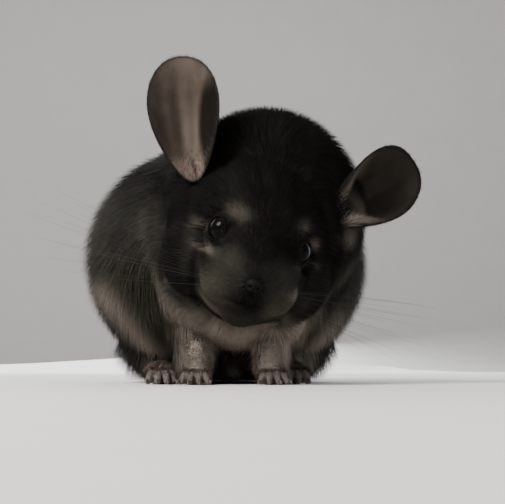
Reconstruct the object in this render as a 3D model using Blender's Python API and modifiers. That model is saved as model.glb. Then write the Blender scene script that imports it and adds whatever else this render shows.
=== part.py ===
"""A life-size standard grey chinchilla crouched on all fours, head low and tilted to its left.

Metres, +Z up. The animal looks towards -Y, its left side is at +X, and the floor is Z = 0.
Sizes below are in millimetres, taken to metres by MM. The outer surface is the outline of the
coat, out to the tips of the fur. The head, the ears and the eyes are drawn in the head's own
frame, with x to the animal's left, y backwards and z up from the middle between the eyes.
"""

import math

import bmesh
import bpy
import numpy as np
from mathutils import Euler, Matrix, Vector
from mathutils.bvhtree import BVHTree

MM = 0.001
GAP = 0.3  # between two solids that touch
HEAD_GAP = 0.4  # round the head, whose cutter has fewer faces than the head
FOOT_GAP = 0.5  # round a hind foot, whose cutter is a plain sole
SIDES = (("left", 1), ("right", -1))

# Head: where the middle between the eyes is, and how the head is turned
HEAD_PLACE = (9.8, -14.0, 59.6)
HEAD_PITCH = 28.0  # degrees, nose down
HEAD_YAW = 6.0  # degrees, towards the animal's left
HEAD_ROLL = 15.0  # degrees, the left ear lower

# Head sections from the nose backwards: distance back, half width, top, widest height, bottom
HEAD_SECTIONS = (
    (-28.6, 6.6, -4.2, -10.0, -16.4),
    (-24.0, 12.6, 0.4, -12.0, -23.0),
    (-16.0, 18.2, 7.8, -14.0, -31.4),
    (-7.0, 22.0, 13.4, -12.5, -37.0),
    (2.0, 27.6, 19.0, -11.5, -41.0),
    (12.0, 33.6, 24.2, -10.5, -43.5),
    (22.0, 37.4, 28.0, -10.0, -44.5),
    (32.0, 37.2, 29.4, -9.5, -43.0),
    (42.0, 30.0, 24.0, -7.0, -33.0),
)
HEAD_ENDS = ((-30.6, -10.4), (51.0, -5.0))  # distance back and height of each end
WHISKER_PAD = ((10.4, -15.4, -14.8), (9.2, 11.0, 9.4))  # centre, radii
CHEEK = ((17.4, 8.0, -17.0), (18.8, 22.0, 20.0))
BROW = ((12.0, -1.0, 4.6), (8.0, 12.0, 6.4))
CHIN = ((0.0, -14.0, -25.5), (9.5, 9.6, 8.4))
HEAD_GRAIN, HEAD_FLOW = 1.0, 40  # size of the remeshed faces, and rounds of smoothing
HEAD_FACES = 1700

# Eyes
EYE_PLACE = (14.7, -6.0, 0.8)
EYE_RADIUS = 6.2
EYE_GAZE = (0.80, -0.56, 0.20)
LID_THICK = 0.9  # of the skin and short fur over the ball
LID_OPENING = (5.9, 5.2, 6.0)  # half width, half height and half depth of the gap between the lids
LID_FORWARD = 5.4  # how far in front of the ball's middle the opening is centred

# Nose and mouth
NOSE_PAD = ((0.0, -29.4, -8.8), (4.0, 2.8, 3.2))
NOSTRIL = ((2.1, -31.8, -8.9), (0.8, 1.7, 1.2))
NOSTRIL_TURN = 24.0
MOUTH_FROM = (0.0, -16.0, -14.0)  # the point inside the muzzle that the mouth is seen from
MOUTH_DROP = (-0.02, 0.46)  # the cleft's slope below the nose, from its top to its bottom
MOUTH_SPREAD = 40.0  # degrees to each side
MOUTH_DIP = 0.10  # slope by which the middle of each arm hangs below its ends
MOUTH_GROOVE, LIP_THICK = 0.5, 1.15
LIP_RISE, LIP_DEPTH = 1.3, 0.6  # of a lip's middle above or below the mouth, and behind it
RAY_REACH = 40.0  # far enough to start outside the muzzle

# Whiskers: each grows from the pad where a ray from the pad's middle leaves it
PAD_REGION = ((16.5, -19.0, -14.5), (6.0, 7.0, 6.5))  # of the muzzle that is the whisker pad
PAD_MIDDLE = (9.0, -17.0, -14.5)
WHISKER_ROWS = ((0.30, 3), (0.02, 2), (-0.26, 2))  # slope of the row's rays, and whiskers in it
RAY_FRONT, RAY_BACK = (0.66, -0.64), (0.98, 0.04)  # across and back of a row's first and last ray
WHISKER_SPREAD = (1.0, 0.5, 0.7)  # share of the ray in the whisker's own way
WHISKER_LEAN = (0.55, 0.28, -0.05)  # added to it: outwards, backwards and down
WHISKER_LENGTHS = (46.0, 76.0)  # of a row's first and last
WHISKER_BEND = (0.0, 0.25, -0.11)  # of the tip, as a share of the length
WHISKER_RADII = ((0.0, 0.36), (0.4, 0.32), (0.75, 0.26))  # share of the length, then radius
WHISKER_SUNK = 2.2

# Ears, in the head's frame
EAR_ROOTS = {"left": (27.0, 17.4, 8.2), "right": (30.2, 17.0, 8.6)}
EAR_TIPS = {"left": (64.0, 50.0, 36.0), "right": (51.0, 46.0, 51.0)}
EAR_FACE = (0.30, -0.73, 0.61)  # the way that the open side looks
EAR_HALF_WIDTH = 17.0
EAR_NARROWING = 0.42  # share of the width lost at the root
EAR_CUP = 9.0  # depth
EAR_TIP_LEAN = 2.0  # of the tip, backwards
EAR_CURL, EAR_ROOT_CURL, EAR_INNER_CURL = 3.5, 5.0, 2.6  # of the rims, forwards
EAR_THICK = 1.3

# Nape and torso: sections from the chest backwards, as for the head
NAPE = ((14.5, 20.0, 73.5), (43.0, 33.0, 45.5))
TORSO_SECTIONS = (
    (-8.0, 22.0, 60.0, 41.0, 23.0),
    (2.0, 36.0, 81.0, 46.0, 15.0),
    (18.0, 49.0, 100.0, 52.0, 10.0),
    (40.0, 60.0, 111.0, 55.0, 5.0),
    (67.0, 66.0, 116.0, 57.0, 2.5),
    (92.0, 65.0, 113.0, 56.0, 2.0),
    (114.0, 56.0, 101.0, 53.0, 3.0),
    (132.0, 41.0, 83.0, 48.0, 9.0),
    (144.0, 23.0, 64.0, 42.0, 21.0),
)
TORSO_ENDS = ((-12.0, 41.0), (149.0, 42.0))
BODY_GRAIN, BODY_FLOW = 2.0, 12
BODY_FACES = 1500
THIGH = ((27.0, 75.0, 24.0), (23.0, 37.0, 26.0))
THIGH_CUT = ((50.0, 77.0, 20.0), (31.0, 38.0, 36.0))
NECK_CUT = ((14.0, 8.0, 74.0), (60.0, 33.0, 62.0))

FLOOR_CUT = ((-300.0, -300.0, -60.0), (300.0, 400.0, 0.0))  # corners of the block below the floor

# Legs: points from the body outwards with the radius at each
FORELEG = (
    (24.0, 20.0, 46.0, 14.0),
    (20.0, 9.0, 30.0, 10.0),
    (17.0, 4.5, 16.0, 6.8),
    (15.4, 2.5, 5.0, 5.2),
)
FORELEG_CUT = ((20.0, 8.0, 13.0), (13.5, 13.5, 17.0))
WRIST = ((0.0, 2.2, 4.0, 4.4), (0.1, 2.6, 10.0, 4.9))
FOREPAW_PLACE = (15.3, -1.0)
FOREPAW_TURN = 4.0  # degrees out
FOREPAW_PALM = ((0.0, 0.2, 3.3), (5.1, 6.2, 4.0))
FORE_TOE_ANGLES = (-30.0, -10.0, 10.0, 30.0)
FORE_TOE = (8.6, 1.7)  # length, radius
FORE_KNUCKLES = (5.0, -3.0, 3.4)  # reach of the fan of toes, then its place back and height
FORE_TOE_SPREAD = 0.8  # share of its angle in the fan that a toe turns out
HIND_FEET = {"left": (25.4, 4.0, -4.0), "right": (29.0, 1.0, -3.0)}  # x, y and degrees out
HIND_SOLE = (
    (0.0, 56.0, 4.2, 5.4),
    (0.0, 42.0, 3.9, 4.9),
    (0.0, 26.0, 3.9, 4.9),
    (0.0, 12.0, 3.7, 5.2),
)
SOLE_FLATNESS = 0.86
HIND_TOE_ANGLES = (-21.0, -7.0, 7.0, 21.0)
HIND_TOE = (12.0, 2.1)
HIND_KNUCKLES = (9.0, 10.5, 3.9)
HIND_TOE_SPREAD = 0.7
INNER_TOE = 0.72  # its length as a share of the others'
KNUCKLE_SHARE, PAD_SHARE = 0.45, 0.86  # of a toe's length
KNUCKLE_RISE = 1.0
CLAW_LENGTH, CLAW_RADIUS = 2.8, 0.75
CLAW_TIP_HEIGHT = 0.75

# Tail: points from the rump to the tip, with the radius of the furred core at each
TAIL_ROOT = (
    (0.0, 132.0, 48.0, 15.0),
    (0.0, 147.0, 36.0, 14.0),
    (-1.0, 161.0, 22.0, 13.0),
    (-3.0, 174.0, 13.4, 12.2),
    (-6.5, 187.0, 11.0, 11.4),
)
TAIL_BRUSH = (
    (-6.5, 187.3, 11.0, 11.4),
    (-12.0, 200.0, 10.4, 10.8),
    (-18.0, 212.0, 10.2, 9.8),
    (-25.0, 224.0, 10.0, 8.2),
    (-32.0, 235.0, 9.6, 6.0),
    (-38.0, 243.0, 9.0, 3.0),
)
LOCK_ROWS, LOCKS_ROUND = 6, 7
LOCK_LENGTH = 27.0
LOCK_BELOW = 0.62  # length of the locks under the tail as a share of those on top
LOCK_HALF_WIDTH, LOCK_HALF_THICK = 4.4, 1.2
LOCK_LIFT, LOCK_SAG = 0.36, 2.0  # how far a lock stands out, as a share of its length, and drops
LOCK_SEED = 7

# Base colour and roughness of each finish, and the finish of each node
FINISHES = {
    "dark_fur": ((0.055, 0.057, 0.060, 1.0), 0.9),
    "grey_fur": ((0.150, 0.150, 0.145, 1.0), 0.9),
    "pale_fur": ((0.520, 0.490, 0.440, 1.0), 0.9),
    "ear_skin": ((0.330, 0.255, 0.225, 1.0), 0.7),
    "eye": ((0.012, 0.009, 0.008, 1.0), 0.08),
}
NODE_FINISHES = {
    "head": "dark_fur",
    "neck": "dark_fur",
    "whisker": "dark_fur",
    "torso": "grey_fur",
    "thigh": "grey_fur",
    "tail": "grey_fur",
    "foreleg": "pale_fur",
    "forepaw": "pale_fur",
    "hindfoot": "pale_fur",
    "ear": "ear_skin",
    "eye": "eye",
}
EDGE_ANGLE = 50.0  # degrees between faces, past which an edge is shaded sharp


def collection(name):
    """A collection linked to the scene."""
    made = bpy.data.collections.new(name)
    bpy.context.scene.collection.children.link(made)
    return made


def clear_scene():
    for obj in list(bpy.data.objects):
        bpy.data.objects.remove(obj, do_unlink=True)


def mesh_object(name, points, faces, group):
    """An object of these points, in millimetres, with normals made to point out."""
    mesh = bpy.data.meshes.new(name)
    mesh.from_pydata([Vector(p) * MM for p in points], [], faces)
    shape = bmesh.new()
    shape.from_mesh(mesh)
    bmesh.ops.recalc_face_normals(shape, faces=shape.faces)
    shape.to_mesh(mesh)
    shape.free()
    obj = bpy.data.objects.new(name, mesh)
    group.objects.link(obj)
    return obj


def through(stations, count):
    """A Catmull-Rom curve through the stations, as that many evenly stepped rows of numbers."""
    rows = np.array(stations, float)
    rows = np.vstack([2 * rows[0] - rows[1], rows, 2 * rows[-1] - rows[-2]])
    steps = np.linspace(0, len(rows) - 3 - 1e-9, count)
    first = steps.astype(int)
    t = (steps - first)[:, None]
    a, b, c, d = (rows[first + k] for k in range(4))
    bend, twist = 2 * a - 5 * b + 4 * c - d, 3 * b - a - 3 * c + d
    return 0.5 * (2 * b + (c - a) * t + bend * t**2 + twist * t**3)


def loft(name, rings, ends, group):
    """A closed surface through equal rings of points, drawn to a point at both ends."""
    rings = np.asarray(rings)
    around = rings.shape[1]
    points = [tuple(ends[0]), *map(tuple, rings.reshape(-1, 3)), tuple(ends[1])]
    last = len(points) - 1
    faces = []
    for k in range(around):
        n = (k + 1) % around
        faces.append((0, 1 + n, 1 + k))
        faces.append((last, last - around + k, last - around + n))
        for a in range(1, last - around, around):
            b = a + around
            faces.append((a + k, a + n, b + n, b + k))
    return mesh_object(name, points, faces, group)


def egg_rings(sections, count, around):
    """Rings across y: each has a half width, and its own heights above and below its widest level."""
    turns = np.linspace(0, 2 * math.pi, around, endpoint=False)
    rings = []
    for back, half, top, wide, low in through(sections, count):
        height = np.where(np.sin(turns) > 0, top - wide, wide - low)
        across, up = half * np.cos(turns), wide + height * np.sin(turns)
        rings.append(np.column_stack([across, np.full(around, back), up]))
    return rings


def along(name, stations, count, around, group, flat=1.0, side=(1, 0, 0)):
    """A round limb along a path of x, y, z and radius, with rounded ends. flat squeezes it across side."""
    rows = through(stations, count)
    middle, radius = rows[:, :3], rows[:, 3]
    ahead = np.gradient(middle, axis=0)
    ahead /= np.linalg.norm(ahead, axis=1)[:, None]
    right = np.cross(np.cross(ahead, side), ahead)
    right /= np.linalg.norm(right, axis=1)[:, None]
    up = np.cross(right, ahead)
    turns = np.linspace(0, 2 * math.pi, around, endpoint=False)
    rings = []
    for i in range(count):
        spokes = np.outer(np.cos(turns), right[i]) + flat * np.outer(np.sin(turns), up[i])
        rings.append(middle[i] + radius[i] * spokes)
    ends, shoulders = [], []
    for i, way in ((0, -1), (-1, 1)):
        out = way * ahead[i] * radius[i]
        ends.append(middle[i] + out * 0.7)
        shoulders.append((rings[i] - middle[i]) * 0.7 + middle[i] + out * 0.5)
    return loft(name, [shoulders[0], *rings, shoulders[1]], ends, group)


def ellipsoid(name, centre, radii, group, around=24, turn=(0, 0, 0)):
    """A sphere stretched to three radii, turned by degrees and set at its centre."""
    shape = bmesh.new()
    bmesh.ops.create_uvsphere(shape, u_segments=around, v_segments=around // 2, radius=1.0)
    place = Matrix.Translation(Vector(centre) * MM)
    spin = Euler([math.radians(a) for a in turn]).to_matrix().to_4x4()
    size = Matrix.Diagonal((*(r * MM for r in radii), 1.0))
    bmesh.ops.transform(shape, matrix=place @ spin @ size, verts=shape.verts)
    mesh = bpy.data.meshes.new(name)
    shape.to_mesh(mesh)
    shape.free()
    obj = bpy.data.objects.new(name, mesh)
    group.objects.link(obj)
    return obj


def mirrored(place, sign):
    return (place[0] * sign, *place[1:])


def settle(obj):
    """Replaces the object's mesh by what its modifiers make of it."""
    bpy.context.view_layer.update()
    graph = bpy.context.evaluated_depsgraph_get()
    made = bpy.data.meshes.new_from_object(obj.evaluated_get(graph))
    obj.modifiers.clear()
    obj.data = made
    return obj


def remove(*objects):
    for obj in objects:
        bpy.data.objects.remove(obj, do_unlink=True)


def keep_largest(obj):
    """Drops every closed surface but the one round the most space."""
    shape = bmesh.new()
    shape.from_mesh(obj.data)
    bmesh.ops.remove_doubles(shape, verts=shape.verts, dist=1e-7)
    left = set(shape.faces)
    bodies = []
    while left:
        todo = [left.pop()]
        body = set(todo)
        while todo:
            face = todo.pop()
            near = {f for e in face.edges for f in e.link_faces} & left
            left -= near
            body |= near
            todo += near
        bodies.append(body)

    def space_inside(body):
        return abs(sum(f.calc_center_median().dot(f.normal) * f.calc_area() for f in body))

    biggest = max(bodies, key=space_inside)
    bmesh.ops.delete(shape, geom=[f for f in shape.faces if f not in biggest], context="FACES")
    bmesh.ops.triangulate(shape, faces=shape.faces)
    shape.to_mesh(obj.data)
    shape.free()
    return obj


def boolean(obj, other, operation):
    """One applied Boolean between closed meshes; other is an object or a collection.

    The remeshed skins lose faces to the exact solver, so the manifold one is used.
    """
    step = obj.modifiers.new(operation.lower(), "BOOLEAN")
    step.operation = operation
    step.solver = "MANIFOLD"
    if isinstance(other, bpy.types.Collection):
        step.operand_type = "COLLECTION"
        step.collection = other
    else:
        step.object = other
    return keep_largest(settle(obj))


def united(obj, pieces, group):
    """Joins the pieces to the object by one union, and removes them."""
    held = collection("held_" + obj.name)
    for piece in pieces:
        group.objects.unlink(piece)
        held.objects.link(piece)
    boolean(obj, held, "UNION")
    remove(*pieces)
    bpy.data.collections.remove(held)
    return obj


def blended(name, pieces, group, grain, rounds, triangles):
    """Flows overlapping forms into one smooth skin: a voxel remesh, smoothing, then fewer faces."""
    joined = bmesh.new()
    for piece in pieces:
        joined.from_mesh(piece.data)
    mesh = bpy.data.meshes.new(name)
    joined.to_mesh(mesh)
    joined.free()
    remove(*pieces)
    obj = bpy.data.objects.new(name, mesh)
    group.objects.link(obj)
    skin = obj.modifiers.new("skin", "REMESH")
    skin.mode = "VOXEL"
    skin.voxel_size = grain * MM
    flow = obj.modifiers.new("flow", "SMOOTH")
    flow.factor = 0.5
    flow.iterations = rounds
    settle(obj)
    fewer = obj.modifiers.new("fewer", "DECIMATE")
    fewer.use_collapse_triangulate = True
    fewer.ratio = triangles / (2 * len(obj.data.polygons))
    return keep_largest(settle(obj))


def grown(obj, by, group, share=1.0):
    """A copy of the object that stands out all round by a distance, with a share of its faces."""
    made = obj.copy()
    made.data = obj.data.copy()
    group.objects.link(made)
    if share < 1.0:
        fewer = made.modifiers.new("fewer", "DECIMATE")
        fewer.use_collapse_triangulate = True
        fewer.ratio = share
    step = made.modifiers.new("grow", "DISPLACE")
    step.strength = by * MM
    step.mid_level = 0.0
    return settle(made)


def cut(obj, *cutters):
    for cutter in cutters:
        boolean(obj, cutter, "DIFFERENCE")


def block(name, low, high, group):
    """A plain box between two corners, as a cutter."""
    shape = bmesh.new()
    bmesh.ops.create_cube(shape, size=1.0)
    low, high = Vector(low) * MM, Vector(high) * MM
    place = Matrix.Translation((low + high) / 2) @ Matrix.Diagonal((*(high - low), 1.0))
    bmesh.ops.transform(shape, matrix=place, verts=shape.verts)
    mesh = bpy.data.meshes.new(name)
    shape.to_mesh(mesh)
    shape.free()
    obj = bpy.data.objects.new(name, mesh)
    group.objects.link(obj)
    return obj


def head_matrix():
    """From the head's own frame to the model: nose down, then turned, then tilted."""
    pitch = Matrix.Rotation(math.radians(HEAD_PITCH), 4, "X")
    yaw = Matrix.Rotation(math.radians(HEAD_YAW), 4, "Z")
    roll = Matrix.Rotation(math.radians(HEAD_ROLL), 4, "Y")
    return Matrix.Translation(Vector(HEAD_PLACE) * MM) @ roll @ yaw @ pitch


def aimed(obj, centre, gaze):
    """Turns an object drawn round the origin so that its z runs along the gaze, and sets it at the centre."""
    ahead = Vector(gaze).normalized()
    across = ahead.cross(Vector((0, 0, 1))).normalized()
    up = ahead.cross(across)
    turn = Matrix((across, up, ahead)).transposed().to_4x4()
    obj.data.transform(Matrix.Translation(Vector(centre) * MM) @ turn)
    return obj


def ring_tube(name, points, radius, group):
    """A curve object with a round bevel through the points, made a mesh with welded caps."""
    curve = bpy.data.curves.new(name, "CURVE")
    curve.dimensions = "3D"
    line = curve.splines.new("POLY")
    line.points.add(len(points) - 1)
    for spot, point in zip(line.points, points):
        spot.co = (*(Vector(point) * MM), 1.0)
    curve.bevel_depth = radius * MM
    curve.bevel_resolution = 1
    curve.use_fill_caps = True
    obj = bpy.data.objects.new(name, curve)
    group.objects.link(obj)
    bpy.context.view_layer.update()
    graph = bpy.context.evaluated_depsgraph_get()
    mesh = bpy.data.meshes.new_from_object(obj.evaluated_get(graph))
    remove(obj)
    shape = bmesh.new()
    shape.from_mesh(mesh)
    bmesh.ops.remove_doubles(shape, verts=shape.verts, dist=1e-6)
    bmesh.ops.recalc_face_normals(shape, faces=shape.faces)
    shape.to_mesh(mesh)
    shape.free()
    made = bpy.data.objects.new(name, mesh)
    group.objects.link(made)
    return made


def mouth_lines(head):
    """The cleft below the nose and the two arms of the mouth, as points on the muzzle."""
    tree = BVHTree.FromObject(head, bpy.context.evaluated_depsgraph_get())
    start = Vector(MOUTH_FROM) * MM

    def on_muzzle(side_degrees, slope):
        turn = math.radians(side_degrees)
        way = Vector((math.sin(turn), -math.cos(turn), -slope)).normalized()
        spot = tree.ray_cast(start + way * RAY_REACH * MM, -way)[0]
        return spot / MM

    cleft = [on_muzzle(0, slope) for slope in np.linspace(*MOUTH_DROP, 4)]
    arms = []
    for side in (1, -1):
        shares = np.linspace(0, 1, 5)
        slopes = MOUTH_DROP[1] + MOUTH_DIP * np.sin(math.pi * shares)
        arms.append([on_muzzle(side * MOUTH_SPREAD * s, slope) for s, slope in zip(shares, slopes)])
    return cleft, arms


def moved(points, by):
    return [Vector(p) + Vector(by) for p in points]


def make_whisker(name, root, ray, length, sign, group):
    """A thin three-sided spine that leaves the pad outwards and bends back and down."""
    way = Vector([a * b for a, b in zip(ray, WHISKER_SPREAD)]) + Vector(mirrored(WHISKER_LEAN, sign))
    way.normalize()
    across = way.cross(Vector((0, 0, 1))).normalized()
    up = across.cross(way)
    bend = Vector(WHISKER_BEND) * length
    rings = []
    for share, radius in WHISKER_RADII:
        centre = root + way * length * share + bend * share**2
        turns = [math.radians(90 + 120 * k) for k in range(3)]
        rings.append([centre + (across * math.cos(t) + up * math.sin(t)) * radius for t in turns])
    heel, tip = root - way * WHISKER_SUNK, root + way * length + bend
    rings[0] = [corner - way * WHISKER_SUNK * 0.5 for corner in rings[0]]
    return loft(name, rings, (heel, tip), group)


def make_whisker_pad(head, side, sign, group, cutters):
    """Parts the pad off the muzzle and roots rows of whiskers in it, longest at the back."""
    tree = BVHTree.FromObject(head, bpy.context.evaluated_depsgraph_get())
    middle = Vector(mirrored(PAD_MIDDLE, sign))
    whiskers = []
    for row, (slope, count) in enumerate(WHISKER_ROWS):
        for share in np.linspace(0, 1, count):
            ahead, back = (a + (b - a) * share for a, b in zip(RAY_FRONT, RAY_BACK))
            ray = Vector((ahead * sign, back, slope)).normalized()
            root = tree.ray_cast((middle + ray * RAY_REACH) * MM, -ray)[0] / MM
            length = WHISKER_LENGTHS[0] + (WHISKER_LENGTHS[1] - WHISKER_LENGTHS[0]) * share
            whiskers.append(make_whisker(f"whisker_{row}_{share}", root, ray, length, sign, group))
    centre, radii = PAD_REGION
    region = ellipsoid("pad_cut", mirrored(centre, sign), radii, cutters, 10)
    pad = part_off(head, "whisker_pad_" + side, region, group, cutters)
    return united(pad, whiskers, group)


def make_head(group, cutters):
    """Skull, cheeks and muzzle flowed together, then nose, lips, lids and the cuts for them."""
    skull_ends = [(0, *end) for end in HEAD_ENDS]
    forms = [loft("skull", egg_rings(HEAD_SECTIONS, 26, 32), skull_ends, group)]
    for side, sign in SIDES:
        orbit = (EYE_PLACE, [EYE_RADIUS + LID_THICK] * 3)
        sided = {"pad": WHISKER_PAD, "cheek": CHEEK, "brow": BROW, "orbit": orbit}
        for name, (centre, radii) in sided.items():
            forms.append(ellipsoid(f"{name}_{side}", mirrored(centre, sign), radii, group))
    forms.append(ellipsoid("chin", *CHIN, group))
    head = blended("head", forms, group, HEAD_GRAIN, HEAD_FLOW, HEAD_FACES)
    room = grown(head, HEAD_GAP, cutters, share=0.45)
    cleft, arms = mouth_lines(head)
    nose = ellipsoid("nose", *NOSE_PAD, group, around=14)
    lips = []
    for n, arm in enumerate(arms):
        for rise in (LIP_RISE, -LIP_RISE):
            line = moved(arm, (0, LIP_DEPTH, rise))
            lips.append(ring_tube(f"lip_{n}_{rise}", line, LIP_THICK, group))
    united(head, [nose, *lips], group)
    for n, line in enumerate([cleft, *arms]):
        groove = ring_tube(f"groove_{n}", moved(line, (0, -0.1, 0)), MOUTH_GROOVE, cutters)
        cut(head, groove)
        remove(groove)
    for side, sign in SIDES:
        centre, radii = NOSTRIL
        turn = (0, 0, NOSTRIL_TURN * sign)
        nostril = ellipsoid("nostril_cut", mirrored(centre, sign), radii, cutters, 10, turn)
        eye = mirrored(EYE_PLACE, sign)
        socket = ellipsoid("socket_cut", eye, [EYE_RADIUS + GAP] * 3, cutters, 18)
        gaze = Vector(mirrored(EYE_GAZE, sign)).normalized()
        opening = ellipsoid("opening_cut", (0, 0, 0), LID_OPENING, cutters, 18)
        aimed(opening, Vector(eye) + gaze * LID_FORWARD, gaze)
        cut(head, nostril, opening, socket)
        remove(nostril, opening, socket)
    pads = [make_whisker_pad(head, *side, group, cutters) for side in SIDES]
    return head, pads, room


def make_ear(side, sign, group):
    """A cupped oval leaf: the open surface is a disc whose middle is pushed back, then thickened."""
    root, tip = Vector(mirrored(EAR_ROOTS[side], sign)), Vector(mirrored(EAR_TIPS[side], sign))
    length = (tip - root).length
    up = (tip - root).normalized()
    face = Vector(mirrored(EAR_FACE, sign))
    face = (face - up * face.dot(up)).normalized()
    across = up.cross(face) * sign
    around, rings = 22, 5
    points = []
    for ring in range(rings + 1):
        share = ring / rings
        for k in range(around if ring else 1):
            turn = 2 * math.pi * k / around
            rise = 0.5 - 0.5 * math.cos(turn) * share
            broad = math.sin(turn) * share
            narrow = 1.0 - EAR_NARROWING * (1 - rise) ** 1.6
            depth = EAR_CUP * (0.6 + 0.5 * math.sin(math.pi * rise))
            cup = depth * (1 - share**2) + EAR_TIP_LEAN * rise**2
            curl = (EAR_CURL + EAR_ROOT_CURL * (1 - rise)) * broad**2
            curl += EAR_INNER_CURL * max(0.0, -broad) ** 2
            place = root + up * length * rise + across * EAR_HALF_WIDTH * narrow * broad
            points.append(place + face * (curl - cup))
    faces = [(0, 1 + k, 1 + (k + 1) % around) for k in range(around)]
    for ring in range(rings - 1):
        a, b = 1 + ring * around, 1 + (ring + 1) * around
        faces += [(a + k, b + k, b + (k + 1) % around, a + (k + 1) % around) for k in range(around)]
    ear = mesh_object("ear_" + side, points, faces, group)
    wall = ear.modifiers.new("wall", "SOLIDIFY")
    wall.thickness = EAR_THICK * MM
    wall.offset = 0.0
    return settle(ear)


def make_body(group):
    """Nape, torso, thighs and upper forelegs flowed into one skin, still whole."""
    trunk_ends = [(0, *end) for end in TORSO_ENDS]
    forms = [loft("trunk", egg_rings(TORSO_SECTIONS, 30, 40), trunk_ends, group)]
    forms.append(ellipsoid("nape", *NAPE, group))
    for side, sign in SIDES:
        centre, radii = THIGH
        arm = [mirrored(station, sign) for station in FORELEG]
        forms.append(ellipsoid("haunch_" + side, mirrored(centre, sign), radii, group))
        forms.append(along("arm_" + side, arm, 10, 14, group))
    return blended("torso", forms, group, BODY_GRAIN, BODY_FLOW, BODY_FACES)


def part_off(whole, name, region, group, cutters):
    """Takes the part of the whole inside a region as its own piece, with a thin gap between."""
    piece = whole.copy()
    piece.data = whole.data.copy()
    piece.name = name
    group.objects.link(piece)
    boolean(piece, region, "INTERSECT")
    wider = grown(region, GAP, cutters)
    cut(whole, wider)
    remove(wider, region)
    return piece


def make_room(inner, cutters, *around):
    """Cuts the pieces around a solid back by the gap."""
    room = grown(inner, GAP, cutters)
    for piece in around:
        cut(piece, room)
    remove(room)


def toe(name, start, angle, length, radius, group):
    """A bent toe with its claw, from the ball of the foot forwards and down."""
    way = Vector((math.sin(math.radians(angle)), -math.cos(math.radians(angle)), 0))
    side = (way.y, -way.x, 0)
    start = Vector(start)
    knuckle = start + way * length * KNUCKLE_SHARE + Vector((0, 0, KNUCKLE_RISE))
    pad = start + way * length * PAD_SHARE
    pad.z = radius * 0.74
    path = [(*start, radius * 0.95), (*knuckle, radius), (*pad, radius * 0.86)]
    nail_root = pad + way * radius * 0.5 + Vector((0, 0, 0.3))
    nail_tip = pad + way * (radius + CLAW_LENGTH * 0.72)
    nail_tip.z = CLAW_TIP_HEIGHT
    arch = (nail_root + nail_tip) / 2 + Vector((0, 0, 0.4))
    nail = [(*nail_root, CLAW_RADIUS)]
    nail += [(*arch, CLAW_RADIUS * 0.8), (*nail_tip, CLAW_RADIUS * 0.35)]
    finger = along(name, path, 3, 6, group, side=side)
    return [finger, along("claw_" + name, nail, 3, 4, group, side=side)]


def fan_of_toes(name, angles, lengths, radius, knuckles, spread, group):
    """Toes that leave an arc across the front of the foot and turn out along it."""
    reach, back, height = knuckles
    toes = []
    for n, (angle, length) in enumerate(zip(angles, lengths)):
        start = (math.sin(math.radians(angle)) * reach, back, height)
        toes += toe(f"{name}_{n}", start, angle * spread, length, radius, group)
    return toes


def turned(pieces, place, degrees, sign):
    """Sets a foot drawn for the left side at its place, mirrored for the right."""
    matrix = Matrix.Translation(Vector((place[0] * sign, place[1], 0)) * MM)
    matrix = matrix @ Matrix.Rotation(math.radians(degrees * sign), 4, "Z")
    for piece in pieces:
        if sign < 0:
            piece.data.transform(Matrix.Diagonal((-1, 1, 1, 1)))
            piece.data.flip_normals()
        piece.data.transform(matrix)


def make_forepaw(side, sign, group):
    """A small round palm with its wrist and four short fingers."""
    palm = ellipsoid("forepaw_" + side, *FOREPAW_PALM, group, 12)
    wrist = along("wrist_" + side, WRIST, 3, 10, group)
    length, radius = FORE_TOE
    lengths = [length] * len(FORE_TOE_ANGLES)
    fan = (FORE_KNUCKLES, FORE_TOE_SPREAD, group)
    toes = fan_of_toes("finger", FORE_TOE_ANGLES, lengths, radius, *fan)
    turned([palm, wrist, *toes], FOREPAW_PLACE, FOREPAW_TURN, sign)
    return united(palm, [wrist, *toes], group)


def make_hindfoot(side, sign, group, cutters):
    """A long flat sole from the heel to the ball, three long toes and a shorter inner one."""
    x, y, out = HIND_FEET[side]
    sole = along("hindfoot_" + side, HIND_SOLE, 7, 10, group, flat=SOLE_FLATNESS)
    wider = [(*place, radius + FOOT_GAP) for *place, radius in HIND_SOLE]
    room = along("foot_room", wider, 6, 12, cutters, flat=SOLE_FLATNESS)
    length, radius = HIND_TOE
    lengths = [length * INNER_TOE] + [length] * (len(HIND_TOE_ANGLES) - 1)
    fan = (HIND_KNUCKLES, HIND_TOE_SPREAD, group)
    toes = fan_of_toes("toe", HIND_TOE_ANGLES, lengths, radius, *fan)
    turned([sole, room, *toes], (x, y), out, sign)
    return united(sole, toes, group), room


def make_lock(name, root, lie, outward, length, group):
    """A flat lock of hair: lens-shaped sections that leave the core, bend along it and taper."""
    root, lie, outward = Vector(root), lie.normalized(), outward.normalized()
    side = lie.cross(outward).normalized()
    drop = Vector((0, 0, -LOCK_SAG))
    rings = []
    for share in (0.0, 0.42, 0.82):
        lift = math.sin(share * math.pi * 0.55) * length * LOCK_LIFT
        centre = root + lie * length * share + outward * lift + drop * share**2
        broad = side * (LOCK_HALF_WIDTH * (1 - share**2.2) + 0.25)
        deep = outward * (LOCK_HALF_THICK * (1 - share**1.6) + 0.3)
        rings.append([tuple(centre + step) for step in (broad, deep, -broad, -deep)])
    tip = root + lie * length + outward * length * (LOCK_LIFT - 0.02) + drop
    heel = root - lie * 1.5
    return loft(name, rings, (heel, tip), group)


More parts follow.
